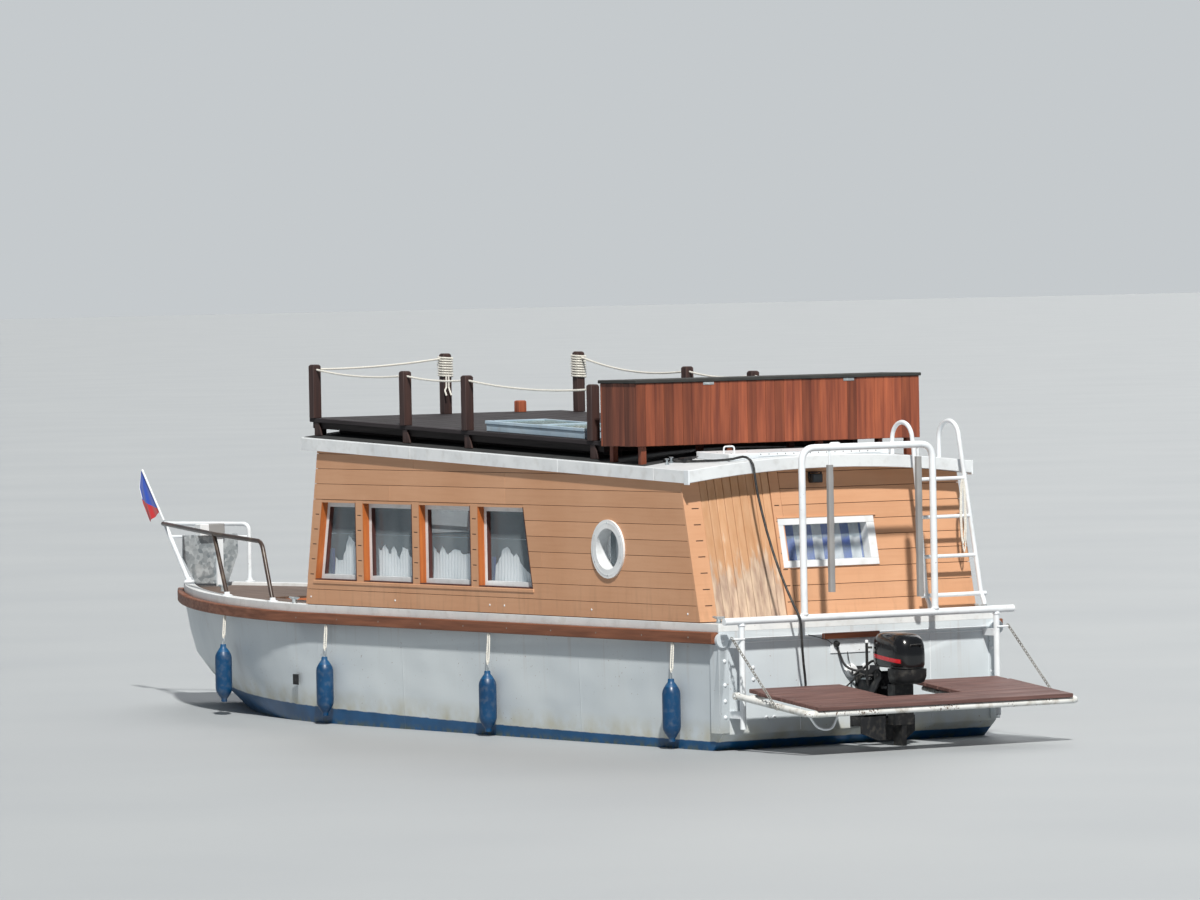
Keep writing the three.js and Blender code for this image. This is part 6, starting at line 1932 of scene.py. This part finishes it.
# Fender: its name, x, side and height of its middle
FENDERS = [
    ("fender_port_1", 0.520, 1, 0.281), ("fender_port_2", 2.965, 1, 0.260),
    ("fender_port_3", 5.280, 1, 0.294), ("fender_port_4", 7.045, 1, 0.332),
    ("fender_stbd_1", 0.520, -1, 0.281), ("fender_stbd_2", 5.280, -1, 0.294),
]
FENDER_HALF = 0.225
# Fender profiles as (radius, height): the body, then the shoulder
FENDER_BODY = [
    (0.0, 0.010), (0.014, 0.003), (0.022, 0.0), (0.024, 0.010), (0.023, 0.022), (0.032, 0.034),
    (0.050, 0.060), (0.061, 0.082), (0.0655, 0.104), (0.0658, 0.15), (0.0658, 0.225), (0.0658, 0.30),
    (0.0655, 0.346), (0.061, 0.368), (0.050, 0.390),
]
FENDER_SHOULDER = [
    (0.050, 0.389), (0.0355, 0.412), (0.024, 0.426), (0.0235, 0.440), (0.021, 0.4495), (0.012, 0.447),
    (0.0, 0.442),
]


def fenders():
    """All of the fenders, port and starboard."""
    for fender_place in FENDERS:
        fender(*fender_place)


def fender(name, x, side, middle):
    """A smooth fender with a paler shoulder, on a wire loop and doubled rope."""
    foot = Vector((x, side * (rail_half(x) + 0.066), middle - FENDER_HALF))
    body = Shape()
    body.turned(FENDER_BODY, foot, (0, 0, 1), 36)
    body.made(f"{name}_body", FENDER_BLUE, replaces=(name,), smooth=60)
    shoulder = Shape()
    shoulder.turned(FENDER_SHOULDER, foot, (0, 0, 1), 36)
    shoulder.made(f"{name}_shoulder", FENDER_PALE, smooth=60)

    hook = Vector((x, side * (rail_half(x) + 0.046), 0.765 + lift(x) - 0.0005))
    neck = foot + Vector((0, 0, 0.438))
    lean = (hook - neck).normalized()
    half_loop = 0.031
    ring = []
    for a in turns(16):
        ring.append(neck + lean * (half_loop - half_loop * math.cos(a)) + Vector((0.011 * math.sin(a), 0, 0)))
    loop = Shape()
    loop.tube(ring, 0.0028, 8, closed=True)
    loop.made(f"{name}_loop", ZINC, smooth=60)

    start = neck + lean * 2 * half_loop
    reach = hook - start
    lines = []
    for shift in (-0.014, 0.014):
        aside = Vector((shift, 0, 0))
        lines.append([start - lean * 0.006, start + reach * 0.12 + aside, start + reach * 0.5 + aside,
                      start + reach * 0.96 + aside * 0.8, start + reach])
    rope(f"{name}_ropes", lines, 0.0072, step=0.016)


def deck_pieces():
    """The hull, its decks and rub rail, with the rail's bolts, a scupper and the cleats."""
    dressed("hull", HULL, chamfer=0.005)
    dressed("side_deck", DECK_WHITE, chamfer=0.005)
    dressed("foredeck", FLOOR_WOOD, chamfer=0.003)
    dressed("bow_well", WELL_WOOD, chamfer=0.003)
    dressed("rub_rail", RUB_WOOD, chamfer=0.006)
    for name, side in (("port", 1), ("stbd", -1)):
        bolts = [(0.3 + k * 0.6, side * (HULL_HALF + 0.0595), 0.806) for k in range(10)]
        heads(f"rub_bolts_{name}", bolts, CHAIN_STEEL, 0.0065, (-side * math.pi / 2, 0.0, 0.0), 0.3)
    scupper = Shape()
    scupper.block(5.78, 5.86, HULL_HALF - 0.003, HULL_HALF + 0.0015, 0.285, 0.365)
    scupper.made("scupper", BLACK_PLASTIC)
    foot = [(0, 0), (0.020, 0), (0.016, 0.03), (0.020, 0.045), (0, 0.05)]
    cleats = Shape()
    for x, y in ((7.9, 0.62), (7.9, -0.60), (5.9, 1.165), (5.9, -1.165), (0.12, 1.13), (0.12, -1.16)):
        base = RIM_TOP + lift(x) - 0.001
        horns = [(x + reach, y, base + height)
                 for reach, height in ((-0.07, 0.045), (-0.03, 0.040), (0.03, 0.040), (0.07, 0.045))]
        cleats.turned(foot, (x, y, base), (0, 0, 1), 16)
        cleats.tube(horns, [0.007, 0.011, 0.011, 0.007], 14)
    cleats.made("deck_cleats", ZINC, smooth=50)


def cabin_inside():
    """Floor, settee bases with cushions, and the galley unit."""
    dressed("cabin_floor", FLOOR_WOOD, chamfer=0.002)
    dressed("galley_unit", ORANGE_WOOD, chamfer=0.006)
    doors = Shape()
    for x in (3.76, 4.12, 4.48, 4.84):
        doors.block(x, x + 0.33, -0.6195, -0.603, 0.09, 0.83)
    doors.chamfer(0.004)
    doors.made("galley_doors", ORANGE_WOOD)
    slab("galley_worktop", FRAME_WHITE, (3.69, 5.21, -1.127, -0.60, 0.899, 0.925), 0.006)
    base = Shape()
    blocks = [(0.705, 3.295, 0.565, 1.125), (0.475, 1.095, -1.125, 1.125), (0.705, 2.595, -1.125, -0.565)]
    for x0, x1, y0, y1 in blocks:
        base.block(x0, x1, y0, y1, 0.019, 0.30)
    base.made("settee_base", ORANGE_WOOD, replaces=("settee",))
    pads = [
        ("cushion_port_1", 1.11, 1.83, 0.57, 1.12), ("cushion_port_2", 1.84, 2.56, 0.57, 1.12),
        ("cushion_port_3", 2.57, 3.29, 0.57, 1.12), ("cushion_aft_1", 0.48, 1.09, 0.30, 1.12),
        ("cushion_aft_2", 0.48, 1.09, -0.29, 0.29), ("cushion_aft_3", 0.48, 1.09, -1.12, -0.30),
        ("cushion_stbd_1", 1.11, 1.84, -1.12, -0.57), ("cushion_stbd_2", 1.85, 2.59, -1.12, -0.57),
    ]
    for name, x0, x1, y0, y1 in pads:
        seat_cushion(name, x0, x1, y0, y1)


def seat_cushion(name, x0, x1, y0, y1):
    """A soft rounded pad."""
    z0, z1 = 0.301, 0.43
    middle_x, middle_y = (x0 + x1) / 2, (y0 + y1) / 2
    half_x, half_y = (x1 - x0) / 2, (y1 - y0) / 2
    rings = []
    for z, inset in ((z0, 0.03), (z0 + 0.015, 0.008), (z0 + 0.055, 0.0), (z0 + 0.10, 0.006),
                     (z1 - 0.012, 0.03), (z1, 0.10), (z1 + 0.006, 0.20)):
        ring = []
        for a in turns(32, 0.5):
            u, v = squared(a, 0.35)
            ring.append((middle_x + (half_x - inset) * u, middle_y + (half_y - inset) * v, z))
        rings.append(ring)
    shape = Shape()
    shape.rings(rings)
    piece = shape.made(name, UPHOLSTERY, replaces=("settee",), smooth=70)


def stage_floor():
    """A plain grey floor at the waterline."""
    reach = 500.0
    corners = [(-reach, -reach, 0), (reach, -reach, 0), (reach, reach, 0), (-reach, reach, 0)]
    floor = bpy.data.meshes.new("floor")
    floor.from_pydata(corners, [], [(0, 1, 2, 3)])
    f = Finish("floor_grey", 0.6)
    colour = f.mixed(f.between(f.noise(0.3, 2), 0.3, 0.7), srgb(160, 165, 169), srgb(165, 170, 173))
    floor.materials.append(f.done(colour))
    piece = bpy.data.objects.new("floor", floor)
    bpy.context.scene.collection.objects.link(piece)


stage_floor()
drain_hose()
deck_pieces()
cabin_walls()
net_curtains()
aft_curtain()
cabin_inside()
dressed("door", ORANGE_WOOD, "door", 0.003)
roof_pieces()
roof_deck()
rope_rail()
skylight()
bar_box()
stern_tubes()
aft_lamp()
ladder()
platform_pieces()
chains()
transom_fittings()
motor()
bow_rails()
bow_shield()
flag()
fenders()
